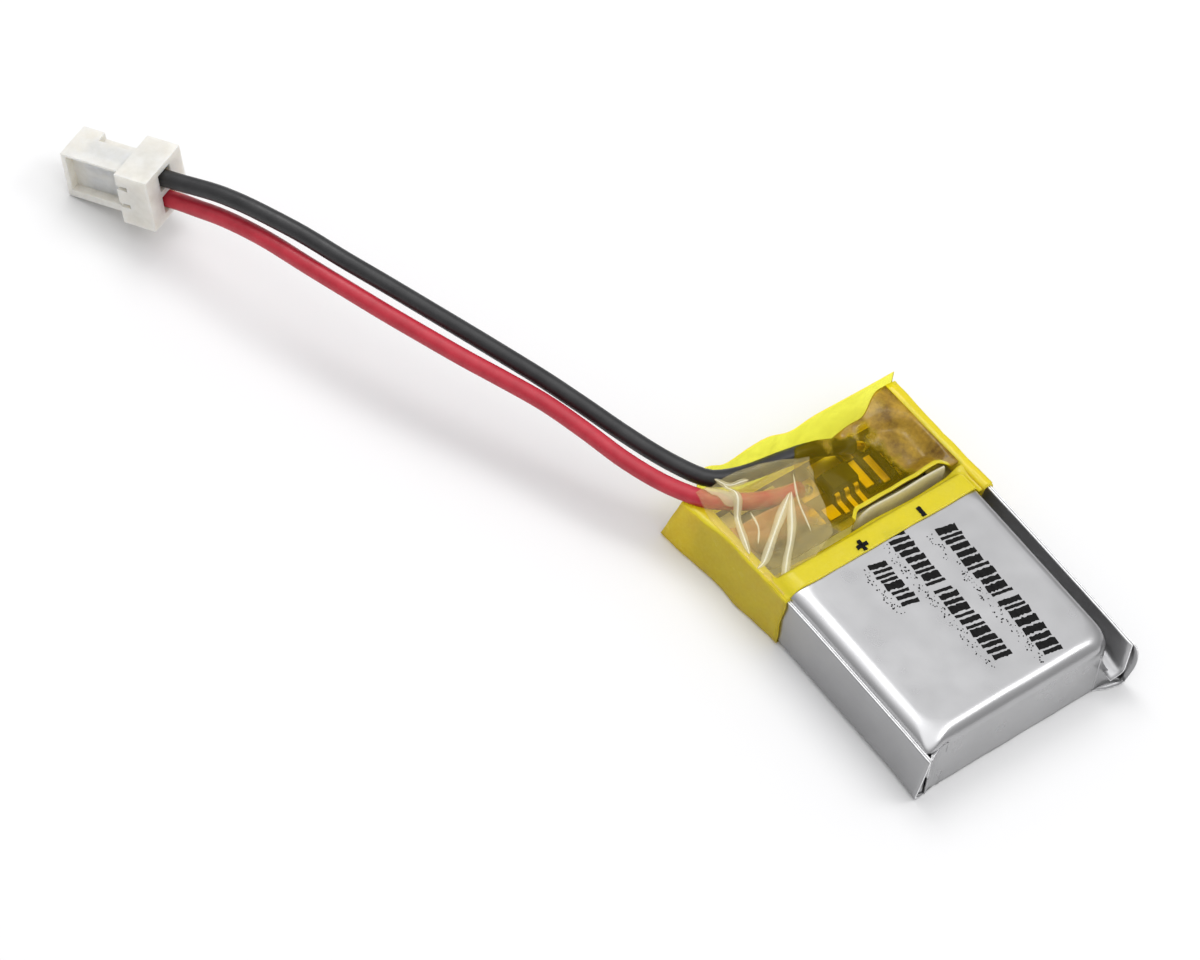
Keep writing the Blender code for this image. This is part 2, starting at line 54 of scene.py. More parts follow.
def make_camera():
    """A long lens that looks down from the front left, turned a little about its own axis."""
    right = Vector((0.76621, -0.61527, 0.18535))
    up = Vector((0.42471, 0.70135, 0.57248))
    back = right.cross(up).normalized()
    up = back.cross(right).normalized()
    data = bpy.data.cameras.new("camera")
    data.sensor_fit = "HORIZONTAL"
    data.sensor_width = 36.0
    data.lens = 204.3
    data.clip_start, data.clip_end = 0.01, 5.0
    camera = bpy.data.objects.new("camera", data)
    matrix = Matrix((right, up, back)).transposed().to_4x4()
    matrix.translation = Vector((-0.152941, -0.096521, 0.241276))
    camera.matrix_world = matrix
    scene.collection.objects.link(camera)
    scene.camera = camera


make_camera()

# ---- Materials ----


NOISE_ROUGHNESS = 0.55


def set_stops(ramp, stops):
    elements = ramp.color_ramp.elements
    while len(elements) < len(stops):
        elements.new(0.5)
    for element, (position, colour) in zip(elements, stops):
        element.position = position
        element.color = (*colour, 1.0)


class Shader:
    """A node material under construction. What a socket takes is a plain value or another node's output."""

    def __init__(self, name):
        self.material = bpy.data.materials.new(name)
        self.material.use_nodes = True
        self.tree = self.material.node_tree
        self.tree.nodes.clear()
        self.output = self.tree.nodes.new("ShaderNodeOutputMaterial")
        self.place = self.add("ShaderNodeTexCoord").outputs["Object"]

    def add(self, kind, sockets=(), **settings):
        node = self.tree.nodes.new(kind)
        for key, value in settings.items():
            setattr(node, key, value)
        for key, value in dict(sockets).items():
            self.put(node.inputs[key], value)
        return node

    def put(self, socket, value):
        if isinstance(value, bpy.types.NodeSocket):
            self.tree.links.new(value, socket)
        else:
            socket.default_value = value

    def noise(self, per_mm, detail=3.0, distortion=0.0):
        """A noise pattern, the finer the larger per_mm, which may have its own value along each axis."""
        scale = (per_mm,) * 3 if isinstance(per_mm, float) else per_mm
        sockets = {"Vector": self.place, "Scale": [value / MM for value in scale]}
        place = self.add("ShaderNodeMapping", sockets).outputs[0]
        sockets = {"Vector": place, "Scale": 1.0, "Detail": detail, "Distortion": distortion}
        sockets["Roughness"] = NOISE_ROUGHNESS
        return self.add("ShaderNodeTexNoise", sockets).outputs["Fac"]

    def ramp(self, value, stops):
        """A colour ramp through stops given as (position, colour)."""
        node = self.add("ShaderNodeValToRGB", {"Fac": value})
        set_stops(node, stops)
        return node.outputs["Color"]

    def span(self, value, low, high, from_low=0.3, from_high=0.7):
        """A number from low to high as value goes from from_low to from_high."""
        sockets = dict(enumerate((value, from_low, from_high, low, high)))
        return self.add("ShaderNodeMapRange", sockets).outputs["Result"]

    def blend(self, factor, a, b):
        node = self.add("ShaderNodeMix", data_type="RGBA")
        for socket, value in zip((node.inputs[0], node.inputs[6], node.inputs[7]), (factor, a, b)):
            self.put(socket, value if isinstance(value, (bpy.types.NodeSocket, float)) else (*value, 1.0))
        return node.outputs[2]

    def bump(self, height, strength, depth_mm, normal=None):
        sockets = {"Height": height, "Strength": strength, "Distance": depth_mm * MM}
        if normal is not None:
            sockets["Normal"] = normal
        return self.add("ShaderNodeBump", sockets).outputs["Normal"]

    def principled(self, sockets):
        return self.add("ShaderNodeBsdfPrincipled", sockets).outputs["BSDF"]

    def finish(self, surface):
        self.put(self.output.inputs["Surface"], surface)
        return self.material

    def finish_principled(self, sockets):
        return self.finish(self.principled(sockets))


def laminate(name, dark, light, rough=(0.24, 0.36)):
    """Satin aluminium laminate under a clear nylon film, with faint rolling marks along the cell."""
    s = Shader(name)
    broad = s.noise(0.45, 3.0)
    grain = s.noise((5.0, 0.6, 5.0), 2.0)
    colour = s.ramp(s.blend(0.12, broad, grain), [(0.15, dark), (0.85, light)])
    normal = s.bump(s.noise(0.5, 1.0), 0.14, 0.03)
    roughness = s.span(s.noise(0.8, 1.5), *rough, 0.15, 0.85)
    sockets = {"Base Color": colour, "Metallic": 1.0, "Roughness": roughness, "Normal": normal}
    return s.finish_principled(sockets)


def laminate_edge():
    """The cut edge of the laminate: bright aluminium between two plastic films."""
    s = Shader("laminate_cut_edge")
    colour = s.ramp(s.noise(3.0, 3.0), [(0.3, (0.78, 0.78, 0.79)), (0.7, (0.97, 0.97, 0.97))])
    roughness = s.span(s.noise(5.0), 0.2, 0.35)
    return s.finish_principled({"Base Color": colour, "Metallic": 0.25, "Roughness": roughness})


FILM_GLOSS = (0.12, 0.3)
FILM_TRANSLUCENCY = 0.35
FINE_GRAIN = (0.15, 0.02)


def film_layers(s, cloud, fine, colour, tint, amount, rough=FILM_GLOSS):
    """The tape's glossy, slightly uneven body, mixed by amount with clear tinted film."""
    wrinkle = s.bump(s.noise(1.6, 3.0, distortion=0.6), 0.35, 0.05)
    normal = s.bump(fine, 0.12, 0.01, wrinkle)
    sockets = {"Base Color": colour, "Roughness": s.span(cloud, *rough), "Normal": normal}
    gloss = s.principled({**sockets, "Coat Weight": 0.4, "Coat Roughness": 0.12})
    through = s.add("ShaderNodeBsdfTranslucent", {"Color": colour, "Normal": normal}).outputs[0]
    body = s.add("ShaderNodeMixShader", {0: FILM_TRANSLUCENCY, 1: gloss, 2: through}).outputs[0]
    clear = s.add("ShaderNodeBsdfTransparent", {"Color": (*tint, 1.0)}).outputs[0]
    return s.finish(s.add("ShaderNodeMixShader", {0: amount, 1: body, 2: clear}).outputs[0])


def film(name, deep, bright, tint, see_through, rough=FILM_GLOSS):
    """A thin coloured tape that light goes through, tinted."""
    s = Shader(name)
    cloud, fine = s.noise(0.9, 4.0), s.noise(6.0, 3.0)
    colour = s.ramp(s.blend(0.3, cloud, fine), [(0.3, deep), (0.7, bright)])
    amount = s.span(cloud, see_through - 0.07, see_through + 0.07)
    return film_layers(s, cloud, fine, colour, tint, amount, rough)


def cover_film():
    """The cover's tape: clear over the board, a darker, less clear amber towards the right wing and behind
    the board, painted as shade there, hazy with glue at the left.
    """
    s = Shader("tape_yellow_cover")
    cloud, fine = s.noise(0.9, 4.0), s.noise(6.0, 3.0)
    axes = s.add("ShaderNodeSeparateXYZ", {0: s.place}).outputs
    wander = s.span(s.noise(1.3, 2.0), -0.35 * MM, 0.35 * MM)

    def maths(operation, a, b):
        return s.add("ShaderNodeMath", {0: a, 1: b}, operation=operation).outputs[0]

    def across(axis, low, high):
        """0 below low and 1 above high, or the other way round, along a border that wanders a little."""
        return s.span(maths("ADD", axes[axis], wander), 0.0, 1.0, low * MM, high * MM)

    left = across("X", -1.2, -1.8)
    # Painted shade: towards the right wing and behind the board the film turns a darker, less clear amber.
    behind = maths("MINIMUM", across("Y", 7.0, 7.4), across("X", 0.8, 1.5))
    painted_shade_mask = maths("MAXIMUM", across("X", 3.3, 3.9), behind)
    over_board = s.ramp(s.blend(0.3, cloud, fine), [(0.3, (0.6, 0.44, 0.01)), (0.7, (0.86, 0.72, 0.03))])
    hazy = s.blend(across("Y", 4.3, 5.4), (0.3, 0.26, 0.13), (0.9, 0.48, 0.24))
    amber = s.ramp(s.blend(0.25, cloud, fine), [(0.36, (0.24, 0.13, 0.012)), (0.62, (0.66, 0.43, 0.04))])
    colour = s.blend(painted_shade_mask, s.blend(left, over_board, hazy), amber)
    amount = maths("SUBTRACT", 0.9, maths("MULTIPLY", left, 0.46))
    amount = maths("SUBTRACT", amount, maths("MULTIPLY", painted_shade_mask, 0.6))
    return film_layers(s, cloud, fine, colour, (0.9, 0.81, 0.24), amount)


def plain(name, dark, light, rough, per_mm=2.0, grain=FINE_GRAIN, metallic=0.0, **extra):
    """A solid finish: mottled between a darker and a lighter shade, with uneven gloss and a fine grain."""
    s = Shader(name)
    sockets = {
        "Base Color": s.ramp(s.noise(per_mm, 4.0), [(0.32, dark), (0.68, light)]),
        "Metallic": metallic,
        "Roughness": s.span(s.noise(per_mm * 1.7), *rough),
        "Normal": s.bump(s.noise(per_mm * 4.0), *grain),
    }
    sockets |= {key.replace("_", " "): value for key, value in extra.items()}
    return s.finish_principled(sockets)


SILVER = laminate("pouch_silver", (0.41, 0.41, 0.415), (0.47, 0.47, 0.475))
SILVER_SEAL = laminate("pouch_seal_silver", (0.46, 0.46, 0.465), (0.54, 0.54, 0.545), (0.42, 0.55))
# A darker copy of the pouch silver: painted shade for the outsides of the wings.
SILVER_SHADED = laminate("pouch_back_silver", (0.33, 0.33, 0.335), (0.4, 0.4, 0.405), (0.3, 0.42))
EDGE = laminate_edge()

# Films: shade where deep, shade where bright, tint of what shows through, how clear, and gloss.
YELLOW = film("tape_yellow", (0.78, 0.62, 0.03), (1.0, 0.9, 0.08), (0.96, 0.84, 0.16), 0.42)
YELLOW_COVER = cover_film()
# A lit copy of the yellow tape, denser and brighter: painted light for the band over the cell's top and
# painted highlights along the tape's folds.
YELLOW_LIT = film("tape_yellow_lit", (0.92, 0.82, 0.02), (1.0, 0.92, 0.06), (1.0, 0.92, 0.12), 0.35)
# A paler, clearer copy of the yellow tape for the standing flap: painted light for the light shining through
# it from behind.
YELLOW_BACKLIT = film("tape_yellow_flap_backlit", (1.0, 0.94, 0.02), (1.0, 1.0, 0.06), (1.0, 1.0, 0.36), 0.88)
CLEAR = film("tape_clear", (0.92, 0.78, 0.36), (1.0, 0.92, 0.6), (0.98, 0.96, 0.88), 0.84, (0.05, 0.16))
# Near-white copies of the clear tape: painted highlight along its folds, partly the glue whitened there, and
# a softer, clearer painted glow round the folds and over a few hazy spots.
FOLD_HIGHLIGHT_AND_WHITENING = film("tape_clear_fold_highlight_and_whitening", (0.97, 0.96, 0.82), (1.0, 1.0, 0.92), (1.0, 0.99, 0.92), 0.22, (0.1, 0.2))
FOLD_GLOW_AND_HAZE = film("tape_clear_glow_and_haze", (0.95, 0.88, 0.6), (1.0, 0.97, 0.8), (1.0, 0.98, 0.86), 0.66, (0.1, 0.2))
STRIP = film("strip_grey", (0.8, 0.75, 0.58), (1.0, 0.96, 0.8), (0.9, 0.9, 0.84), 0.18, (0.15, 0.3))

# Solids: darker shade, lighter shade, gloss, pattern per millimetre, grain, and metallic or not.
YELLOW_EDGE = plain("tape_cut_edge", (0.85, 0.62, 0.01), (1.0, 0.86, 0.05), (0.25, 0.4))
PAPER = plain("insulation_paper", (0.66, 0.66, 0.58), (0.8, 0.8, 0.72), (0.6, 0.8), 3.0)
MASK = plain("board_mask", (0.06, 0.035, 0.01), (0.11, 0.065, 0.016), (0.35, 0.5), 1.5)
BLACK_CHIP = plain("chip_black", (0.012,) * 3, (0.03,) * 3, (0.4, 0.6), 6.0)
GOLD = plain("gilt_pad", (0.92, 0.72, 0.25), (1.0, 0.86, 0.42), (0.3, 0.36), 1.0, (0.02, 0.002), 1.0)
NICKEL = plain("pad_nickel", (0.56, 0.52, 0.46), (0.7, 0.66, 0.6), (0.25, 0.4), 3.0, FINE_GRAIN, 1.0)
SOLDER = plain("solder", (0.52, 0.52, 0.53), (0.7, 0.7, 0.71), (0.15, 0.32), 2.0, (0.04, 0.006), 1.0)
COPPER = plain("tinned_copper", (0.62, 0.42, 0.3), (0.8, 0.6, 0.48), (0.25, 0.4), 8.0, FINE_GRAIN, 1.0)
ALUMINIUM = plain("tab_aluminium", (0.7, 0.7, 0.71), (0.82, 0.82, 0.83), (0.25, 0.38), 2.0, FINE_GRAIN, 1.0)
RESISTOR = plain("resistor_body", (0.03, 0.03, 0.035), (0.06, 0.06, 0.065), (0.4, 0.6), 5.0)
CERAMIC = plain("capacitor_body", (0.36, 0.25, 0.15), (0.5, 0.36, 0.22), (0.45, 0.6), 5.0)
GRAPHITE = plain("anode_foil", (0.035, 0.035, 0.04), (0.07, 0.07, 0.075), (0.65, 0.85), 5.0)
CATHODE = plain("cathode_foil", (0.08, 0.08, 0.09), (0.14, 0.14, 0.15), (0.6, 0.8), 5.0)
SEPARATOR = plain("separator_film", (0.78, 0.79, 0.78), (0.9, 0.91, 0.9), (0.4, 0.55), 3.0)
GREEN = plain("stop_tape", (0.05, 0.32, 0.13), (0.09, 0.45, 0.2), (0.3, 0.45), 3.0)
TAB_FILM = plain("tab_film", (0.6, 0.55, 0.42), (0.75, 0.7, 0.56), (0.35, 0.5), 3.0)
RED = plain("insulation_red", (0.4, 0.012, 0.028), (0.5, 0.022, 0.042), (0.34, 0.46), 1.2, (0.3, 0.03))
BLACK = plain("insulation_black", (0.009, 0.009, 0.01), (0.02, 0.02, 0.021), (0.34, 0.48), 1.2, (0.3, 0.03))
NYLON = plain(
    "nylon_white",
    (0.66, 0.64, 0.585),
    (0.75, 0.735, 0.69),
    rough=(0.34, 0.48),
    per_mm=1.5,
    grain=(0.25, 0.03),
    Subsurface_Weight=0.6,
    Subsurface_Radius=(0.9 * MM, 0.8 * MM, 0.65 * MM),
    Subsurface_Scale=1.0,
)
TIN = plain("contact_tin", (0.58, 0.56, 0.5), (0.74, 0.72, 0.66), (0.2, 0.35), 4.0, FINE_GRAIN, 1.0)
INK = plain("ink_black", (0.003,) * 3, (0.01,) * 3, (0.75, 0.9), 6.0, FINE_GRAIN, Specular_IOR_Level=0.15)

# ---- Mesh helpers ----


def lerp(a, b, t):
    return a + (b - a) * t


def smooth(low, high, value):
    """0 below low, 1 above high and an even ease between them."""
    t = min(1.0, max(0.0, (value - low) / (high - low)))
    return t * t * (3.0 - 2.0 * t)


def grid(rows):
    """Points and faces of a sheet given as rows of points. Its front is towards row x column."""
    width = len(rows[0])
    points = [tuple(point) for row in rows for point in row]
    starts = [a for j in range(len(rows) - 1) for a in range(j * width, (j + 1) * width - 1)]
    return points, [(a, a + 1, a + 1 + width, a + width) for a in starts]


def sheet(across, along, place, flip=False):
    """A sheet of across by along panels, with its points at place(u, v), where both go from 0 to 1."""
    rows = [[place(i / across, j / along) for j in range(along + 1)] for i in range(across + 1)]
    return grid(rows[::-1] if flip else rows)


def join(*forms):
    points, faces = [], []
    for more_points, more_faces in forms:
        start = len(points)
        points += more_points
        faces += [tuple(start + index for index in face) for face in more_faces]
    return points, faces


def mesh_of(name, form):
    points, faces = form
    mesh = bpy.data.meshes.new(name)
    mesh.from_pydata([tuple(value * MM for value in point) for point in points], [], faces)
    return mesh


def place_on_pack(obj, replaces=()):
    scene.collection.objects.link(obj)
    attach(obj, "root")
    if replaces:
        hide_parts(*replaces)


def piece(name, form, materials, replaces=(), sharp=50.0, weld=False):
    """A mesh piece from points in millimetres, riding on the pack."""
    mesh = mesh_of(name, form)
    if weld:
        work = bmesh.new()
        work.from_mesh(mesh)
        bmesh.ops.remove_doubles(work, verts=work.verts, dist=WELD)
        work.to_mesh(mesh)
        work.free()
    for material in materials:
        mesh.materials.append(material)
    mesh.polygons.foreach_set("use_smooth", [True] * len(mesh.polygons))
    if sharp:
        mesh.set_sharp_from_angle(angle=radians(sharp))
    obj = bpy.data.objects.new(name, mesh)
    place_on_pack(obj, replaces)
    return obj


def thicken(obj, thickness, offset=0.0, rim=0):
    """Gives a sheet its thickness in millimetres. Its cut edge takes the material number rim."""
    solid = obj.modifiers.new("thickness", "SOLIDIFY")
    solid.thickness = thickness * MM
    solid.offset = offset
    solid.use_even_offset = True
    solid.material_offset_rim = rim


def soften(obj, width, segments=2, angle=35.0):
    """Rounds a moulded piece's edges."""
    bevel = obj.modifiers.new("edges", "BEVEL")
    bevel.width = width * MM
    bevel.segments = segments
    bevel.limit_method = "ANGLE"
    bevel.angle_limit = radians(angle)
    bevel.harden_normals = True


def block(low, high):
    """Points and faces of a box between two corners."""
    points = [(x, y, z) for z in (low[2], high[2]) for y in (low[1], high[1]) for x in (low[0], high[0])]
    faces = [(0, 2, 3, 1), (4, 5, 7, 6), (0, 1, 5, 4), (2, 6, 7, 3), (0, 4, 6, 2), (1, 3, 7, 5)]
    return points, faces


def curve_points(route, step):
    """Points a step apart on the smooth curve through the route's own points."""
    knots = [Vector(point) for point in route]
    knots = [knots[0] * 2 - knots[1], *knots, knots[-1] * 2 - knots[-2]]
    fine = []
    for p0, p1, p2, p3 in zip(knots, knots[1:], knots[2:], knots[3:]):
        for number in range(12):
            t = number / 12
            line = 2 * p1 + (p2 - p0) * t
            square = (2 * p0 - 5 * p1 + 4 * p2 - p3) * t**2
            fine.append(0.5 * (line + square + (3 * p1 - p0 - 3 * p2 + p3) * t**3))
    fine.append(knots[-2])
    total = sum((b - a).length for a, b in zip(fine, fine[1:]))
    spans = max(1, round(total / step))
    even, walked = [fine[0]], 0.0
    for a, b in zip(fine, fine[1:]):
        length = (b - a).length
        while len(even) < spans and walked + length >= total * len(even) / spans:
            even.append(a.lerp(b, (total * len(even) / spans - walked) / length))
        walked += length
    return [*even, fine[-1]]


def ripple(x, y, z, per_mm, amount):
    return amount * noise.noise(Vector((x, y, z)) * per_mm)


# ---- Leads ----

CONNECTOR_AT = Vector((-15.91, 33.61, 2.87))
CONNECTOR_TURN = Matrix.Rotation(radians(21.0), 4, "Z") @ Matrix.Rotation(radians(-20.0), 4, "X")
CONNECTOR_PLACE = Matrix.Translation(CONNECTOR_AT) @ CONNECTOR_TURN
PIN_PITCH = 1.25
LEAD_DIAMETER = 0.8

POSITIVE_ROUTE = [
    (-0.85, 6.35, 1.66), (-1.70, 6.38, 1.86), (-2.60, 6.45, 2.16), (-3.60, 6.62, 2.48),
    (-4.60, 7.00, 2.76), (-5.65, 7.65, 2.93), (-6.77, 9.10, 3.13), (-7.65, 10.95, 3.34),
    (-8.31, 13.00, 3.56), (-9.06, 15.05, 3.78), (-9.97, 16.90, 3.97), (-10.86, 18.65, 4.12),
    (-11.70, 20.50, 4.24), (-12.50, 22.40, 4.31), (-13.21, 24.35, 4.30), (-13.83, 26.35, 4.16),
    (-14.32, 28.30, 3.92), (-14.72, 29.80, 3.60), (-15.06, 31.00, 3.24), (-15.41, 32.05, 2.85),
]
NEGATIVE_ROUTE = [
    (2.75, 6.95, 1.72), (1.80, 7.20, 1.98), (0.40, 7.50, 2.30), (-1.20, 7.68, 2.50),
    (-2.60, 7.80, 2.64), (-3.80, 8.02, 2.78), (-4.90, 8.55, 2.92), (-5.95, 10.10, 3.18),
    (-6.84, 12.00, 3.46), (-7.62, 13.95, 3.74), (-8.42, 15.90, 4.00), (-9.28, 17.75, 4.26),
    (-10.15, 19.60, 4.50), (-11.02, 21.45, 4.72), (-11.88, 23.35, 4.90), (-12.70, 25.25, 5.00),
    (-13.42, 27.20, 5.02), (-14.02, 28.75, 4.92), (-14.52, 30.15, 4.70), (-14.93, 31.35, 4.36),
    (-15.30, 32.25, 4.03),
]


def lead_end(side):
    height = PIN_PITCH / 2 * side
    return [CONNECTOR_PLACE @ Vector((0.0, y, height)) for y in (-0.7, 0.0, 0.5)]


def make_lead(node, points, material):
    name = f"{node}_insulation"
    curve = bpy.data.curves.new(name, "CURVE")
    curve.dimensions = "3D"
    curve.bevel_depth = LEAD_DIAMETER / 2 * MM
    curve.bevel_resolution = 7
    curve.use_fill_caps = True
    spline = curve.splines.new("POLY")
    spline.points.add(len(points) - 1)
    for vertex, point in zip(spline.points, points):
        vertex.co = (*(point * MM), 1.0)
    spline.use_smooth = True
    curve.materials.append(material)
    obj = bpy.data.objects.new(name, curve)
    place_on_pack(obj, (node,))
    return obj


LEAD_STEP = 0.45
POSITIVE_POINTS = curve_points([*POSITIVE_ROUTE, *lead_end(-1)], LEAD_STEP)
NEGATIVE_POINTS = curve_points([*NEGATIVE_ROUTE, *lead_end(1)], LEAD_STEP)
positive_lead = make_lead("positive_lead", POSITIVE_POINTS, RED)
negative_lead = make_lead("negative_lead", NEGATIVE_POINTS, BLACK)

# ---- Connector ----


def cut(obj, forms, operation="DIFFERENCE"):
    """Carves the forms out of a piece, or adds them to it, and keeps only the result."""
    for form in forms:
        cutter = bpy.data.objects.new("cutter", mesh_of("cutter", form))
        scene.collection.objects.link(cutter)
        modifier = obj.modifiers.new("cut", "BOOLEAN")
        modifier.operation = operation
        modifier.solver = "EXACT"
        modifier.object = cutter
        bpy.context.view_layer.update()
        graph = bpy.context.evaluated_depsgraph_get()
        result = bpy.data.meshes.new_from_object(obj.evaluated_get(graph))
        obj.modifiers.remove(modifier)
        obj.data = result
        bpy.data.objects.remove(cutter, do_unlink=True)


def make_connector():
    """Two-way nylon housing: a flanged collar round the leads and a narrower plug body."""
    collar = block((-1.415, 0.0, -1.44), (1.415, 1.7, 1.44))
    name = "connector_housing_moulding"
    housing = piece(name, collar, [NYLON], ("connector_housing",), sharp=0)
    cut(housing, [block((-1.0, 1.6, -1.25), (1.0, 4.9, 1.25))], "UNION")
    holes = []
    for side, latch in ((-1, -0.36), (1, 0.66)):
        middle = side * PIN_PITCH / 2
        holes += [
            block((-0.47, -1.0, middle - 0.47), (0.47, 3.9, middle + 0.47)),
            block((-0.25, 3.0, middle - 0.25), (0.25, 6.0, middle + 0.25)),
            block((-1.6, 1.15, latch - 0.12), (-0.7, 1.78, latch + 0.12)),
        ]
    side_recess = block((-2.0, 1.98, -0.86), (-0.56, 4.64, 1.12))
    key_notch = block((0.42, 1.7, 0.86), (2.0, 3.75, 2.0))
    far_side_step = block((1.33, 0.5, -0.6), (2.0, 2.2, 0.6))
    cut(housing, [*holes, side_recess, key_notch, far_side_step])
    mesh = housing.data
    mesh.materials.clear()
    mesh.materials.append(NYLON)
    mesh.polygons.foreach_set("use_smooth", [True] * len(mesh.polygons))
    mesh.transform(Matrix.Translation(CONNECTOR_AT * MM) @ CONNECTOR_TURN)
    mesh.update()
    soften(housing, 0.08, 3)
    return housing


def declare_cord(points):
    sum((b - a).length for a, b in zip(points, points[1:])) * MM


ON_LEADS = [make_connector(), nodes["positive_contact"], nodes["negative_contact"]]
declare_cord(POSITIVE_POINTS)
declare_cord(NEGATIVE_POINTS)

# ---- Pouch ----

WING_TOP = 3.0
WING_BACK = 7.2
WING_FOOT = 5.3
CUP_TOP = 3.49
CUP_LEFT = -5.83
CUP_RIGHT = 5.3
TAPE_FRONT = 1.4


def wing_top(y):
    """Height of the folded seals, which get lower under the tape."""
    return WING_TOP - 0.06 * max(0.0, y - TAPE_FRONT)


def cup_top(x, y):
    """Height of the cell's top face, which is a little uneven."""
    return CUP_TOP + ripple(x, y, 0.0, 0.35, 0.012)


def cup_ring(z, inset_x, inset_y, radius, tight):
    """One turn round the cup, a rectangle with round corners. The left front one has the tight radius."""
    low_x, high_x = CUP_LEFT + max(0.0, inset_x - 0.1) * 1.45, CUP_RIGHT - inset_x
    low_y, high_y = -8.28 + inset_y, 2.88 - inset_y
    corners = (
        (high_x - radius, low_y + radius, -90, radius),
        (high_x - radius, high_y - radius, 0, radius),
        (low_x + radius, high_y - radius, 90, radius),
        (low_x + tight, low_y + tight, 180, tight),
    )
    arc_steps, straight_steps = 10, 26
    ring = []
    for number, (x, y, start, turn) in enumerate(corners):
        for step in range(arc_steps + 1):
            angle = radians(start + 90 * step / arc_steps)
            ring.append((x + turn * cos(angle), y + turn * sin(angle)))
        x, y, start, turn = corners[(number + 1) % 4]
        goal = (x + turn * cos(radians(start)), y + turn * sin(radians(start)))
        last = ring[-1]
        for step in range(1, straight_steps):
            ring.append(tuple(lerp(a, b, step / straight_steps) for a, b in zip(last, goal)))
    return [(x, y, z) for x, y in ring]


# Place across and up the end wall, depth, size and slant of each gather.
CUP_DIMPLES = (
    (-4.72, 2.92, 0.1, 0.2, 0.3),
    (-4.3, 2.62, 0.06, 0.16, -0.5),
    (4.62, 2.86, 0.1, 0.22, -0.4),
    (4.15, 2.66, 0.05, 0.15, 0.6),
)


def dent_front(point):
    """Moves a point of the cup for the gathers under the end wall's top corners and for slight waves."""
    x, y, z = point
    wall = 1.0 - smooth(-7.9, -6.9, y)
    push = 0.0
    for at_x, at_z, depth, size, slant in CUP_DIMPLES:
        across = (x - at_x) + slant * (z - at_z)
        along = z - at_z
        push += depth * exp(-((across / size) ** 2) - (along / (size * 1.6)) ** 2)
    push += ripple(x, 0.0, z, 0.7, 0.02)
    side = 1.0 - smooth(0.0, 0.5, CUP_RIGHT - x)
    beside = (1.0 - smooth(0.0, 0.5, x - CUP_LEFT)) * wing_wave(y, min(z, WING_TOP))
    return (x + side * ripple(0.0, y, z, 0.5, 0.03) + beside, y + wall * push, z)


def cup_form():
    rings = [cup_ring(0.02, 0.16, 0.16, 0.6, 0.2), cup_ring(0.05, 0.04, 0.04, 0.7, 0.2)]
    edge_rise = 0.78
    lean_x, lean_y = 0.1, 0.26
    wall_steps, arc_steps = 12, 14
    for step in range(wall_steps):
        t = step / wall_steps
        z = lerp(0.12, CUP_TOP - edge_rise, t)
        rings.append(cup_ring(z, lean_x * t, lean_y * t, lerp(0.7, 0.8, t), 0.22))
    for step in range(arc_steps + 1):
        angle = pi / 2 * step / arc_steps
        fall = 1.0 - cos(angle)
        z = CUP_TOP - edge_rise * (1.0 - sin(angle))
        tight = 0.22 + sin(angle) ** 1.5
        rings.append(cup_ring(z, lean_x + 0.58 * fall, lean_y + 0.8 * fall, 0.8 + 0.55 * fall, tight))
    rim = rings[-1]
    for t in (0.06, 0.16, 0.3, 0.45, 0.6, 0.75, 0.88, 0.97):
        towards = [(-0.05 + (x + 0.05) * 0.01, -2.7 + (y + 2.7) * 0.01, CUP_TOP) for x, y, _ in rim]
        rings.append([tuple(lerp(a, b, t) for a, b in zip(p, q)) for p, q in zip(rim, towards)])
    shaped = []
    for ring in rings:
        row = []
        for x, y, z in ring:
            if z > CUP_TOP - edge_rise - 0.01:
                z = CUP_TOP - (CUP_TOP - z) * (1.0 - 0.38 * (1.0 - smooth(-5.0, -4.1, x)))
            if z > 3.3:
                z += (cup_top(x, y) - CUP_TOP) * smooth(3.3, CUP_TOP, z)
            row.append(dent_front((x, y, z)))
        shaped.append([*row, row[0]])
    points, faces = grid(shaped)
    width = len(shaped[0])
    start = (len(shaped) - 1) * width
    centre = len(points)
    last = shaped[-1][:-1]
    points.append(tuple(sum(point[axis] for point in last) / len(last) for axis in range(3)))
    faces += [(start + k, start + k + 1, centre) for k in range(width - 1)]
    return points, faces


def seal_front(x, z):
    """Where the pouch's front end lies: a straight fold in the middle, an ear at each wing."""
    t = min(1.0, max(0.0, z / WING_TOP))
    if x < -WING_FOOT:
        return -8.38 - 0.02 * sin(pi * t)
    if x > WING_FOOT:
        return lerp(-8.7, -8.56, t) - 0.14 * sin(pi * t)
    side = smooth(4.4, 5.6, abs(x))
    return lerp(-8.24, -8.66 if x > 0 else -8.34, side)


def wing_wave(y, z):
    """The wings are a little wavy, more so at the top."""
    return ripple(0.0, y, z, 0.45, 0.05) * z / WING_TOP


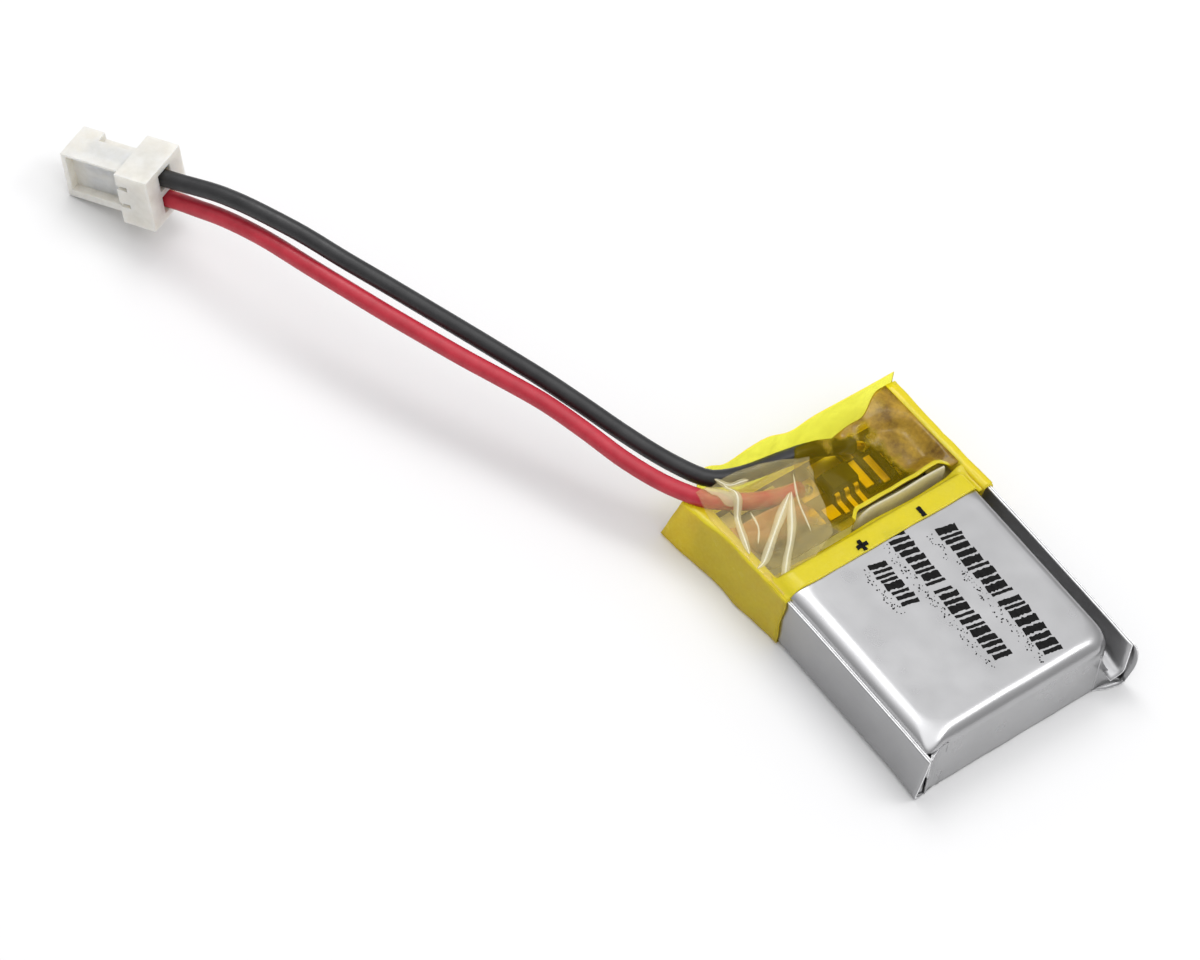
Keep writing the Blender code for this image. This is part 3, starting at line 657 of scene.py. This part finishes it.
def outer_layer():
    """The flat half of the pouch: under the cell and up the outside of both wings."""
    radius, steps = 0.34, 8
    x_side = 5.955
    section = [(-x_side, lerp(WING_TOP, radius + 0.05, k / 14)) for k in range(14)]
    section += [
        (-x_side + radius * (1 - cos(a)), 0.05 + radius * (1 - sin(a)))
        for a in (pi / 2 * k / steps for k in range(steps + 1))
    ]
    section += [(lerp(-x_side + radius, x_side - radius, k / 30), 0.05) for k in range(1, 30)]
    section += [(-x, z) for x, z in reversed(section[: 14 + steps + 1])]
    stations = [0.0, 0.015, 0.04, 0.07, 0.11, 0.16, 0.22, 0.3, 0.38, 0.46, 0.54, 0.6, 0.66, 0.75, 0.85, 1.0]

    def place(x, z, t):
        y = lerp(seal_front(x, z), WING_BACK, t)
        share = z / WING_TOP
        end = 1.0 - smooth(-8.9, -7.2, y)
        low = 0.05 + 0.075 * smooth(1.2, 1.6, y)
        height = lerp(low, wing_top(y), (z - 0.05) / (WING_TOP - 0.05))
        if x < -WING_FOOT:
            x -= 0.1 * (1.0 - smooth(-8.6, -6.5, y)) * (1.0 - share)
        if x > WING_FOOT:
            bulge = sin(pi * min(1.0, share)) ** 0.8
            x += 0.44 * end * bulge + 0.2 * end * (1.0 - smooth(0.0, 0.5, z))
        if abs(x) > WING_FOOT:
            x += wing_wave(y, z)
        return x, y, height

    return grid([[place(x, z, t) for t in stations] for x, z in section])


def inner_wing(side):
    """The cup half's seal: from the wing's top down its inside and across to the cup's foot."""
    section = [(5.852, lerp(WING_TOP, 1.5, k / 12)) for k in range(13)]
    if side > 0:
        section += [(5.82, 1.36), (5.72, 1.26), (5.55, 1.22), (5.3, 1.2), (5.1, 1.15)]
    stations = [0.0, 0.02, 0.045, 0.075, 0.11, 0.16, 0.22, 0.3, 0.4, 0.5, 0.62, 0.75, 0.88, 1.0]

    def place(x, z, t):
        y = lerp(seal_front(side * 5.8, z) + 0.05, WING_BACK, t)
        end = 1.0 - smooth(-8.5, -7.4, y)
        share = z / WING_TOP
        lean = 0.42 * (1.0 - share) if side < 0 else 0.16 * sin(pi * share)
        height = lerp(0.05, wing_top(y), (z - 0.05) / (WING_TOP - 0.05))
        return side * (x - lean * end) + wing_wave(y, z), y, height

    rows = [[place(x, z, t) for t in stations] for x, z in section]
    return grid(rows[::-1] if side > 0 else rows)


def corner_web(side):
    """The laminate gathered between the end wall and the wing at a front corner."""

    def place(v, u):
        u = u if side > 0 else 1.0 - u
        top = 0.16 + 2.3 * (1.0 - u) ** 1.3 if side > 0 else lerp(2.92, 2.98, u)
        z = lerp(0.03, top, min(1.0, v / 0.86))
        start_y = -8.25 + 0.26 * (z - 0.12) / 2.6
        end_x, end_y = 6.02 + 0.12 * (1.0 - z / 0.6), -8.64
        if side < 0:
            end_x, end_y = -5.86 + 0.42 * (1.0 - z / WING_TOP), -8.34
        x = lerp(side * 4.55, end_x, u)
        y = lerp(start_y, end_y, u**1.6) + 0.05 * sin(pi * u)
        roll = max(0.0, (v - 0.86) / 0.14)
        y += 0.5 * sin(roll * pi / 2) * (1.0 - 0.8 * u)
        z -= 0.3 * (1.0 - cos(roll * pi / 2)) * (1.0 - 0.8 * u)
        return x, y, z

    return sheet(14, 12, place)


def make_pouch():
    cup = piece("pouch_cup_laminate", cup_form(), [SILVER], ("pouch_cup",), 0, weld=True)
    thicken(cup, 0.09, -1.0)
    seals = join(inner_wing(-1), inner_wing(1))
    wings = piece("pouch_inner_seals", seals, [SILVER_SEAL, EDGE], sharp=60)
    thicken(wings, 0.085, rim=1)
    webs = piece("pouch_corner_webs", join(corner_web(-1), corner_web(1)), [SILVER])
    thicken(webs, 0.06)
    # The outer layer takes the darker copy of the silver: painted shade on the wings' outsides.
    layers = [SILVER_SHADED, EDGE]
    back = piece("pouch_back_laminate", outer_layer(), layers, ("pouch_back",))
    thicken(back, 0.085, rim=1)


make_pouch()

# ---- Ink marks on the cell ----

INK_THICKNESS = 0.012


def stroke(start, end, width, rng, lift):
    """An ink stroke with a rough outline, lying on the surface whose height is lift(x, y)."""
    a, b = Vector(start), Vector(end)
    along = (b - a).normalized()
    side = Vector((-along.y, along.x))
    outline = []
    steps = max(3, int((b - a).length / 0.09))
    for sign in (1, -1):
        for k in range(steps + 1)[::sign]:
            reach = width / 2 * (1.0 + rng.uniform(-0.22, 0.22))
            outline.append(a.lerp(b, k / steps) + side * reach * sign + along * rng.uniform(-0.02, 0.02))
    return ink_patch(outline, lift)


def dot(centre, radius, rng, lift):
    outline = []
    for k in range(9):
        angle = 2 * pi * k / 9
        reach = radius * rng.uniform(0.8, 1.15)
        outline.append(Vector(centre) + Vector((cos(angle), sin(angle))) * reach)
    return ink_patch(outline, lift)


def ink_patch(outline, lift):
    count = len(outline)
    if sum(p.x * q.y - q.x * p.y for p, q in zip(outline, [*outline[1:], outline[0]])) < 0:
        outline = outline[::-1]
    points = [(p.x, p.y, lift(p.x, p.y) + rise) for rise in (-0.01, INK_THICKNESS) for p in outline]
    faces = [tuple(range(count, 2 * count)), tuple(reversed(range(count)))]
    for k in range(count):
        following = (k + 1) % count
        faces.append((k, following, count + following, count + k))
    return points, faces


def on_band(x, y):
    """Height of the yellow band's top where it crosses the cell."""
    return cup_top(x, y) + 0.105 * smooth(1.3, 1.42, y)


def make_ink():
    """Rows of slanted bars along the cell, with spatter, and the two polarity signs."""
    rng = random.Random(11)
    forms = []
    # Middle of the row, its start along the cell, its height, and the bars in each group.
    rows = ((2.3, 0.62, 1.12, (11, 8)), (0.12, 1.72, 1.05, (9, 12)), (-1.6, 0.72, 1.0, (8,)))
    slant, group_gap, specks_per_mm = 0.2, 0.24, 14
    for middle, start, tall, groups in rows:
        y = start
        for count in groups:
            for _ in range(count):
                width = rng.choice((0.15, 0.21, 0.27, 0.38))
                low, high = rng.uniform(-0.5, -0.4), rng.uniform(0.4, 0.5)
                y -= width / 2
                foot = (middle + low * tall, y - slant * low)
                head = (middle + high * tall, y - slant * high)
                forms.append(stroke(foot, head, width, rng, cup_top))
                y -= width / 2 + rng.uniform(0.08, 0.14)
            y -= group_gap
        for _ in range(int((start - y) * specks_per_mm)):
            speck = (middle - tall * rng.uniform(0.55, 0.95), rng.uniform(y + 0.1, start))
            forms.append(dot(speck, rng.uniform(0.012, 0.045), rng, cup_top))
    piece("ink_dashes", join(*forms), [INK], sharp=30)
    signs = [
        stroke((-1.55, 2.04), (-1.55, 1.46), 0.2, rng, on_band),
        stroke((-1.86, 1.74), (-1.24, 1.74), 0.2, rng, on_band),
        stroke((1.92, 2.02), (1.92, 1.47), 0.22, rng, on_band),
    ]
    piece("polarity_signs", join(*signs), [INK], sharp=30)


make_ink()

# ---- Board and its parts ----

BOARD_TOP = 1.08
PAD_HEIGHTS = (1.055, 1.11)
RAISED_PAD_HEIGHTS = (1.25, 1.36)


def slabs(heights, outlines):
    """Blocks between two heights over outlines given as x, y of one corner and x, y of the other."""
    low, high = heights
    return [block((x0, y0, low), (x1, y1, high)) for x0, y0, x1, y1 in outlines]


def make_board_details():
    """Gilt pads and tracks on the board, and black bars beside them that stand in as painted shade for the
    dark gaps between the raised pads.
    """
    pads = slabs(
        PAD_HEIGHTS,
        [
            (-4.6, 4.6, -4.0, 7.3),
            (-3.9, 6.9, -1.4, 7.4),
            (-1.3, 4.55, -0.6, 5.5),
            (-0.75, 5.9, 0.35, 6.85),
            (-0.35, 4.55, 0.3, 5.2),
            (0.55, 6.65, 2.1, 7.35),
            (3.8, 5.2, 4.0, 6.2),
        ],
    )
    raised = [(2.05, 4.95, 2.52, 6.45), (2.18, 6.55, 2.62, 7.2), (2.95, 4.75, 3.32, 6.3)]
    pads += slabs(RAISED_PAD_HEIGHTS, raised)
    piece("board_pads", join(*pads), [GOLD], sharp=30)
    # Painted shade: black bars in the gaps between the raised pads, on a black strip under them.
    bars = slabs((1.2, 1.52), [(2.58, 4.95, 2.86, 6.45), (3.4, 4.8, 3.7, 6.35)])
    bars += slabs((1.1, 1.22), [(2.1, 4.7, 3.75, 6.5)])
    soften(piece("board_gap_shade_bars", join(*bars), [BLACK_CHIP], sharp=30), 0.03)


def loft(rings):
    """A closed solid through rings of four corners each."""
    points = [point for ring in rings for point in ring]
    last = len(points) - 4
    faces = [(3, 2, 1, 0), (last, last + 1, last + 2, last + 3)]
    for k in range(0, last, 4):
        faces += [(k + a, k + (a + 1) % 4, k + 4 + (a + 1) % 4, k + 4 + a) for a in range(4)]
    return points, faces


def gull_leg(x, y_body, y_foot, width, height, thickness=0.1):
    """A flat leg: out of the body, down, and along the board."""
    foot_height = BOARD_TOP + 0.055
    path = [
        (y_foot, foot_height),
        (y_body - 0.34, foot_height),
        (y_body - 0.24, BOARD_TOP + 0.12),
        (y_body - 0.16, height - 0.07),
        (y_body - 0.06, height),
        (y_body + 0.1, height),
    ]
    corners = [(dx * width / 2, dz * thickness / 2) for dx, dz in ((-1, -1), (1, -1), (1, 1), (-1, 1))]
    return loft([[(x + dx, y, z + dz) for dx, dz in corners] for y, z in path])


def chip_body(x, y, width, depth, low, high):
    """A moulded body with drafted sides."""
    rings = []
    for z, shrink in ((low, 0.06), (lerp(low, high, 0.45), 0.0), (high, 0.09)):
        w, d = width / 2 - shrink, depth / 2 - shrink
        rings.append([(x - w, y - d, z), (x + w, y - d, z), (x + w, y + d, z), (x - w, y + d, z)])
    return loft(rings)


def give_second_material(faces):
    for polygon in faces:
        polygon.material_index = 1


def make_chip(name, node, centre, size, leg_width, reach):
    """A chip with three bent legs along its front."""
    x, y = centre
    width, depth, height = size
    front = y - depth / 2
    body = chip_body(x, y, width, depth, BOARD_TOP + 0.08, BOARD_TOP + height)
    legs = [
        gull_leg(x + width * share, front, front - reach, leg_width, BOARD_TOP + height * 0.5)
        for share in (-1 / 3, 0.0, 1 / 3)
    ]
    chip = piece(name, join(body, *legs), [BLACK_CHIP, GOLD], (node,), sharp=25)
    give_second_material(chip.data.polygons[len(body[1]) :])
    soften(chip, 0.03, 2, 30)


def make_small_part(name, node, centre, material):
    """A chip component: a ceramic body between two metal ends."""
    x, y = centre
    body = block((x - 0.35, y - 0.235, BOARD_TOP + 0.01), (x + 0.35, y + 0.235, BOARD_TOP + 0.335))
    ends = [
        block((x + low, y - 0.25, BOARD_TOP), (x + low + 0.16, y + 0.25, BOARD_TOP + 0.35))
        for low in (-0.5, 0.34)
    ]
    part = piece(name, join(body, *ends), [material, SOLDER], (node,), sharp=25)
    give_second_material(part.data.polygons[len(body[1]) :])
    soften(part, 0.03, 2, 30)


def make_board():
    make_board_details()
    make_chip("mosfet_package", "mosfet", (1.15, 5.95), (1.65, 1.1, 0.75), 0.26, 0.95)
    make_chip("protection_ic_package", "protection_ic", (-3.0, 5.3), (2.2, 1.0, 0.6), 0.32, 0.55)
    make_small_part("filter_resistor_chip", "filter_resistor", (4.3, 4.9), RESISTOR)
    make_small_part("sense_resistor_chip", "sense_resistor", (4.3, 5.6), RESISTOR)
    make_small_part("filter_capacitor_chip", "filter_capacitor", (4.3, 6.9), CERAMIC)


make_board()

# ---- Tapes ----

TAPE_BACK = 9.6
TENT_WIDTH = 1.6
TENT_KNEE = 0.74
LEAD_SAMPLES = [*curve_points(POSITIVE_ROUTE, 0.2), *curve_points(NEGATIVE_ROUTE, 0.2)]
TAPED_SAMPLES = [point for point in LEAD_SAMPLES if point.y < TAPE_BACK]


def over_leads(x, y, base, margin, slope):
    """Height of a tape that rests at base and tents over the leads: round near them, then sloping."""
    height = base
    reach = LEAD_DIAMETER / 2 + margin
    knee = reach * TENT_KNEE
    for point in TAPED_SAMPLES:
        distance = hypot(point.x - x, point.y - y)
        if distance <= TENT_WIDTH:
            rise = sqrt(reach * reach - min(distance, knee) ** 2) - slope * max(0.0, distance - knee)
            height = max(height, point.z + rise)
    return height


WRAP_ROWS = 22


def wrap_section(y):
    """Corners across the wrap as (x, z, lowness) and the panels between them, at y along the cell."""
    top = wing_top(y) + 0.06
    flare = 0.24 * smooth(1.8, 4.0, y) + 0.42 * smooth(4.6, 8.5, y)
    left = 0.34 * smooth(5.0, 8.5, y)
    right = 0.3 * smooth(5.5, 8.5, y)
    corners = [
        (-5.46, top - 1.15, 0.0),
        (-5.6, top - 0.04, 0.0),
        (-5.66, top + 0.01, 0.0),
        (-6.02 - left, top + 0.01, 0.0),
        (-6.07 - left, top - 0.05, 0.0),
        (-6.05 - flare, 0.1, 1.0),
        (-6.0 - flare, 0.03, 1.0),
        (6.0 + right, 0.03, 1.0),
        (6.05 + right, 0.1, 1.0),
        (6.07 + right * 0.3, top - 0.05, 0.0),
        (6.02 + right * 0.3, top + 0.01, 0.0),
        (5.66, top + 0.01, 0.0),
        (5.58, top - 0.06, 0.0),
        (5.4, top - 0.62, 0.0),
    ]
    return corners, (5, 1, 2, 1, 12, 1, 24, 1, 12, 1, 2, 1, 3)


def wrap_form():
    """The yellow wrap: inside the left wing, over it, down, under the cell, and up over the right one."""
    rows = []
    for number in range(WRAP_ROWS + 1):
        t = number / WRAP_ROWS
        corners, counts = wrap_section(lerp(TAPE_FRONT, 8.4, t))
        section = [
            tuple(lerp(p, q, k / count) for p, q in zip(a, b))
            for a, b, count in zip(corners, corners[1:], counts)
            for k in range(count)
        ]
        row = []
        for x, z, low in (*section, corners[-1]):
            front = TAPE_FRONT - 0.16 * low - 0.05 * sin(3.0 * z)
            back = lerp(8.12 if x < 0 else 8.3, 8.46, low) + 0.06 * sin(1.7 * x)
            y = lerp(front, back, t)
            if abs(x) > 5.7:
                x += wing_wave(y, z) + copysign(abs(ripple(x, y, z, 0.9, 0.09)), x)
            row.append((x, y, z))
        rows.append(row)
    return grid(list(zip(*rows)))


def cover_height(x, y):
    """Height of the yellow cover draped over the board between the wings."""
    top = wing_top(y) + 0.05
    floor = lerp(2.62, 2.12, smooth(3.7, 4.6, y))
    floor = lerp(floor, 1.9 + 0.5 * smooth(1.0, 3.0, x), smooth(6.4, 7.5, y))
    floor += 0.1 * exp(-(((x - 2.1) / 1.5) ** 2) - ((y - 5.6) / 0.9) ** 2)
    floor += ripple(x, y, 3.0, 0.9, 0.1) + abs(ripple(x, y, 9.0, 0.55, 0.2))
    floor = over_leads(x, y, floor, 0.07, 0.8)
    behind = smooth(6.0, 7.4, y)
    right = smooth(4.85 - 2.2 * behind, 5.62 - 0.5 * behind, x)
    left = 1.0 - smooth(-5.62, -4.9, x)
    return lerp(lerp(floor, top, right), top, left)


def cover_front(x):
    """Where the cover begins: just behind the grey strip."""
    return 3.2 + 0.5 * smooth(-0.6, 0.2, x) * (1.0 - smooth(4.9, 5.3, x))


def cover_back(x):
    """Where the cover ends behind the leads and the board."""
    edge = lerp(5.9, 7.95, smooth(-1.5, -0.2, x))
    return edge - 0.42 * smooth(0.6, 2.4, x) + 0.75 * smooth(3.4, 5.2, x)


def cover_form():
    def place(u, v):
        x = lerp(-5.6, 5.6, u)
        back = cover_back(x)
        y = lerp(cover_front(x), back, v)
        hanging = smooth(back - 0.35, back, y) ** 2 * smooth(-1.0, 0.2, x) * (1.0 - smooth(1.2, 2.4, x))
        return x, y, cover_height(x, y) - 0.9 * hanging

    return sheet(60, 40, place, flip=True)


def cup_side(x):
    """Height of the cup's soft left edge."""
    share = min(1.0, max(0.0, (x - CUP_LEFT) / 0.84))
    return CUP_TOP - 0.48 * (1.0 - sqrt(1.0 - (1.0 - share) ** 2))


def band_height(x, y):
    """Height of the yellow band over the cell's shoulder."""
    groove_right = smooth(5.0, 5.3, x) * (1.0 - smooth(5.5, 5.72, x))
    on_cell = smooth(-5.75, -5.6, x) * (1.0 - smooth(4.75, 5.45, x))
    height = lerp(wing_top(y) + 0.09, 3.545, on_cell) - 0.2 * groove_right
    if x < -4.9:
        height = max(wing_top(y) + 0.09, cup_side(x) + 0.058)
    fall = smooth(2.3, 3.0, y)
    low = lerp(wing_top(y) + 0.02, 2.35 + 0.1 * sin(1.3 * x + 1.0), on_cell)
    return lerp(height, low, fall) + ripple(x, y, 5.0, 1.1, 0.02)


def band_form():
    def place(u, v):
        x = lerp(-6.08, 6.06, u)
        front = TAPE_FRONT + 0.05 * smooth(4.5, 5.5, abs(x)) + ripple(x, 0.0, 2.0, 0.8, 0.03)
        y = lerp(front, 3.02, v)
        return x, y, band_height(x, y)

    return sheet(72, 18, place, flip=True)


# Where along its top the flap rises or falls, and by how much.
FLAP_WAVES = ((-3.3, -0.62), (-1.3, 0.28), (0.3, -0.3))


def flap_form():
    """The yellow tape that stands free behind the board and leans back."""

    def place(u, v):
        x = lerp(-5.0, 6.15, u)
        top = 2.98 + sum(size * exp(-(((x - at) / 0.8) ** 2)) for at, size in FLAP_WAVES)
        top += 0.1 * smooth(1.0, 6.0, x)
        top_y = 8.95 - 0.38 * smooth(-4.2, -0.6, x) - 0.1 * smooth(0.0, 5.5, x)
        z = lerp(0.12, top, v)
        y = lerp(8.02, top_y, v**0.8) + ripple(x, 0.0, z, 0.6, 0.12) * v * (1.0 - v)
        return x, y, z

    return sheet(60, 20, place)


# Routes of the pale marks in the clear tape, seen from above, and how wide each is to either side. Along the
# folds they are painted highlight, partly the glue whitened there.
HAZY_SPOTS = (
    (((-5.6, 7.9), (-5.2, 7.6), (-5.0, 7.1), (-4.8, 6.6)), 0.17),
    (((-5.0, 7.8), (-4.8, 7.3), (-4.6, 6.9)), 0.1),
)
CREASES = (
    (((-2.0, 6.0), (-3.8, 4.8), (-5.4, 3.7), (-6.0, 3.5)), 0.125),
    (((-1.9, 6.0), (-3.4, 4.2), (-4.5, 3.2), (-5.8, 1.9)), 0.115),
    (((-4.6, 7.9), (-4.4, 7.4), (-4.5, 6.8), (-5.0, 6.0), (-5.8, 4.3)), 0.12),
    (((-4.8, 8.1), (-4.3, 7.6), (-3.3, 7.4)), 0.06),
    (((-1.2, 6.7), (-1.9, 5.5), (-2.5, 3.9)), 0.035),
    (((-4.2, 6.1), (-4.4, 5.3), (-5.0, 4.6)), 0.035),
)


def clear_height(x, y):
    """Height of the clear tape, which lies on the left wing and over the leads."""
    edge = 1.0 - smooth(-5.95, -4.6, x)
    base = lerp(2.72, wing_top(y) + 0.13, edge)
    base = over_leads(x, y, base, 0.1, 0.75)
    return base + ripple(x, y, 7.0, 1.2, 0.07)


def clear_form():
    """The clear tape over the leads' way out: a four-sided piece with a narrow front end."""
    front_left, front_right = (-6.0, 1.72), (-1.7, 3.3)
    back_left, back_right = (-6.08, 7.9), (0.0, 7.05)

    def place(u, v):
        near = [lerp(a, b, u) for a, b in zip(front_left, front_right)]
        far = [lerp(a, b, u) for a, b in zip(back_left, back_right)]
        x, y = (lerp(a, b, v) for a, b in zip(near, far))
        y += 0.35 * sin(pi * u) * smooth(0.8, 1.0, v)
        x += ripple(0.0, y, 3.0, 1.3, 0.45) * smooth(0.7, 1.0, u)
        return x, y, clear_height(x, y)

    return sheet(75, 90, place, flip=True)


def crease_form(route, half_width, steep):
    """A pinched fold standing on the clear tape: a low ridge that tapers to nothing at both ends."""
    middle = curve_points([(x, y, 0.0) for x, y in route], 0.08)
    rows = []
    for number, point in enumerate(middle):
        before, after = middle[max(0, number - 1)], middle[min(len(middle) - 1, number + 1)]
        along = (after - before).normalized()
        side = Vector((-along.y, along.x))
        share = number / (len(middle) - 1)
        size = half_width * (0.08 + sin(pi * share) ** 0.6 * (1.0 + 0.25 * sin(9.0 * share)))
        row = []
        for k in range(9):
            across = 1.0 - k / 4
            x, y = point.x + side.x * size * across, point.y + side.y * size * across
            rise = size * steep * (1.0 - across * across)
            row.append((x, y, clear_height(x, y) + 0.012 + rise))
        rows.append(row)
    return grid(rows)


def tape(name, form, materials, thickness, replaces=(), offset=0.0, rim=0):
    obj = piece(name, form, materials, replaces, sharp=0)
    thicken(obj, thickness, offset, rim)
    return obj


def make_tapes():
    wrap = tape("tape_wrap", wrap_form(), [YELLOW, YELLOW_LIT], 0.045, ("wrap_tape",))
    # Painted highlight: the wrap's faces on top of the wings take the lit copy of the tape.
    faces = [(face, face.center / MM) for face in wrap.data.polygons]
    give_second_material(face for face, at in faces if at.z > wing_top(at.y) - 0.02 and abs(at.x) > 5.5)
    cover = tape("tape_cover", cover_form(), [YELLOW_COVER, YELLOW_LIT], 0.04)
    # Painted highlight: a strip along the cover's front fold takes the lit copy of the tape.
    faces = [(face, face.center / MM) for face in cover.data.polygons if -0.4 < face.center.x / MM < 5.2]
    give_second_material(face for face, at in faces if at.y < cover_front(at.x) + 0.2)
    # The band is all in the lit copy of the tape: painted light over the cell's top.
    tape("tape_band", band_form(), [YELLOW_LIT, YELLOW_EDGE], 0.045, ("shoulder_tape",), rim=1)
    # The flap takes the paler backlit copy of the tape: painted light.
    tape("tape_end_flap", flap_form(), [YELLOW_BACKLIT, YELLOW_EDGE], 0.045, ("end_flap_tape",), rim=1)
    tape("tape_clear_cover", clear_form(), [CLEAR], 0.035, ("lead_retaining_tape",))
    # Painted highlight on the clear tape's folds, partly their whitened glue: a wide, clear glow and a
    # near-white core along each fold, and the glow alone over the hazy spots.
    glow_forms = [crease_form(route, 1.8 * half_width, 0.25) for route, half_width in (*CREASES, *HAZY_SPOTS)]
    folds = [crease_form(route, 0.65 * half_width, 0.9) for route, half_width in CREASES]
    marks = join(*glow_forms, *folds)
    creases = tape("tape_clear_creases", marks, [FOLD_GLOW_AND_HAZE, FOLD_HIGHLIGHT_AND_WHITENING], 0.02, offset=-1.0)
    give_second_material(creases.data.polygons[sum(len(faces) for _, faces in glow_forms) :])


make_tapes()


def make_strip():
    """The round-ended strip of grey film that stands behind the cell's shoulder."""
    around = 24

    def place(u, v):
        x = lerp(-0.15, 5.0, u)
        from_end = min(1.0, x + 0.15)
        half = 1.06 * sqrt(max(0.0, 1.0 - (1.0 - from_end) ** 2)) + 0.02
        angle = 2 * pi * v
        y = 3.44 + 0.16 * cos(angle) * min(1.0, half * 2) + 0.02 * sin(x * 2.0)
        return x, y, 1.66 + half * copysign(abs(sin(angle)) ** 0.6, sin(angle))

    points, faces = sheet(60, around, place)
    last = len(points) - around - 1
    faces += [tuple(range(around)), tuple(reversed(range(last, last + around)))]
    piece("shoulder_strip", (points, faces), [STRIP], ("shoulder_insulation_strip",), 0)


make_strip()

# ---- CAD nodes that keep their own shape ----

KEPT = {
    GRAPHITE: ["anode_winding"],
    CATHODE: ["cathode_winding"],
    SEPARATOR: ["separator_inner", "separator_outer"],
    GREEN: ["winding_stop_tape"],
    ALUMINIUM: ["positive_tab"],
    NICKEL: ["negative_tab", "positive_weld_pad", "negative_weld_pad"],
    TAB_FILM: ["positive_tab_film", "negative_tab_film"],
    PAPER: ["terrace_insulation_tape"],
    MASK: ["protection_board"],
    SOLDER: ["positive_solder_joint", "negative_solder_joint"],
    COPPER: ["positive_conductor_end", "negative_conductor_end"],
    TIN: ["positive_contact", "negative_contact"],
}
for material, names in KEPT.items():
    for name in names:
        nodes[name].data.materials.clear()
        nodes[name].data.materials.append(material)

# ---- Floor, light and background ----

# Brightness of the studio's surroundings against height: dimmer low down, a softbox overhead.
SKY = ((0.0, 0.22), (0.45, 0.29), (0.74, 0.38), (0.86, 0.62), (0.96, 0.9))
SKY_STRENGTH = 2.08
FLOOR_HALF = 1500.0


def make_floor():
    corners = [(x * FLOOR_HALF, y * FLOOR_HALF, 0.0) for x, y in ((-1, -1), (1, -1), (1, 1), (-1, 1))]
    mesh = mesh_of("floor", (corners, [(0, 1, 2, 3)]))
    s = Shader("floor_white")
    sockets = {"Base Color": (0.8, 0.8, 0.8, 1.0), "Roughness": 0.75, "Specular IOR Level": 0.2}
    mesh.materials.append(s.finish_principled(sockets))
    floor = bpy.data.objects.new("floor", mesh)
    scene.collection.objects.link(floor)
    floor.location.z = -0.00002


def area_light(name, place, aim, size, power):
    data = bpy.data.lights.new(name, "AREA")
    data.shape = "RECTANGLE"
    data.size, data.size_y = size
    data.energy = power
    light = bpy.data.objects.new(name, data)
    light.location = place
    light.rotation_mode = "QUATERNION"
    light.rotation_quaternion = (Vector(aim) - Vector(place)).to_track_quat("-Z", "Y")
    scene.collection.objects.link(light)


def make_light():
    middle = (-0.003, 0.005, 0.0)
    area_light("key", (0.06, 0.22, 0.36), middle, (0.2, 0.2), 0.42)
    area_light("edge", (0.2, -0.11, 0.33), middle, (0.12, 0.12), 0.2)
    world = bpy.data.worlds.new("studio")
    world.use_nodes = True
    tree = world.node_tree
    place = tree.nodes.new("ShaderNodeTexCoord")
    parts = tree.nodes.new("ShaderNodeSeparateXYZ")
    ramp = tree.nodes.new("ShaderNodeValToRGB")
    tree.links.new(place.outputs["Generated"], parts.inputs[0])
    tree.links.new(parts.outputs["Z"], ramp.inputs["Fac"])
    tree.links.new(ramp.outputs["Color"], tree.nodes["Background"].inputs["Color"])
    set_stops(ramp, [(height, (level, level, level * 1.01)) for height, level in SKY])
    tree.nodes["Background"].inputs["Strength"].default_value = SKY_STRENGTH
    scene.world = world


make_floor()
make_light()
scene.view_settings.view_transform = "Standard"
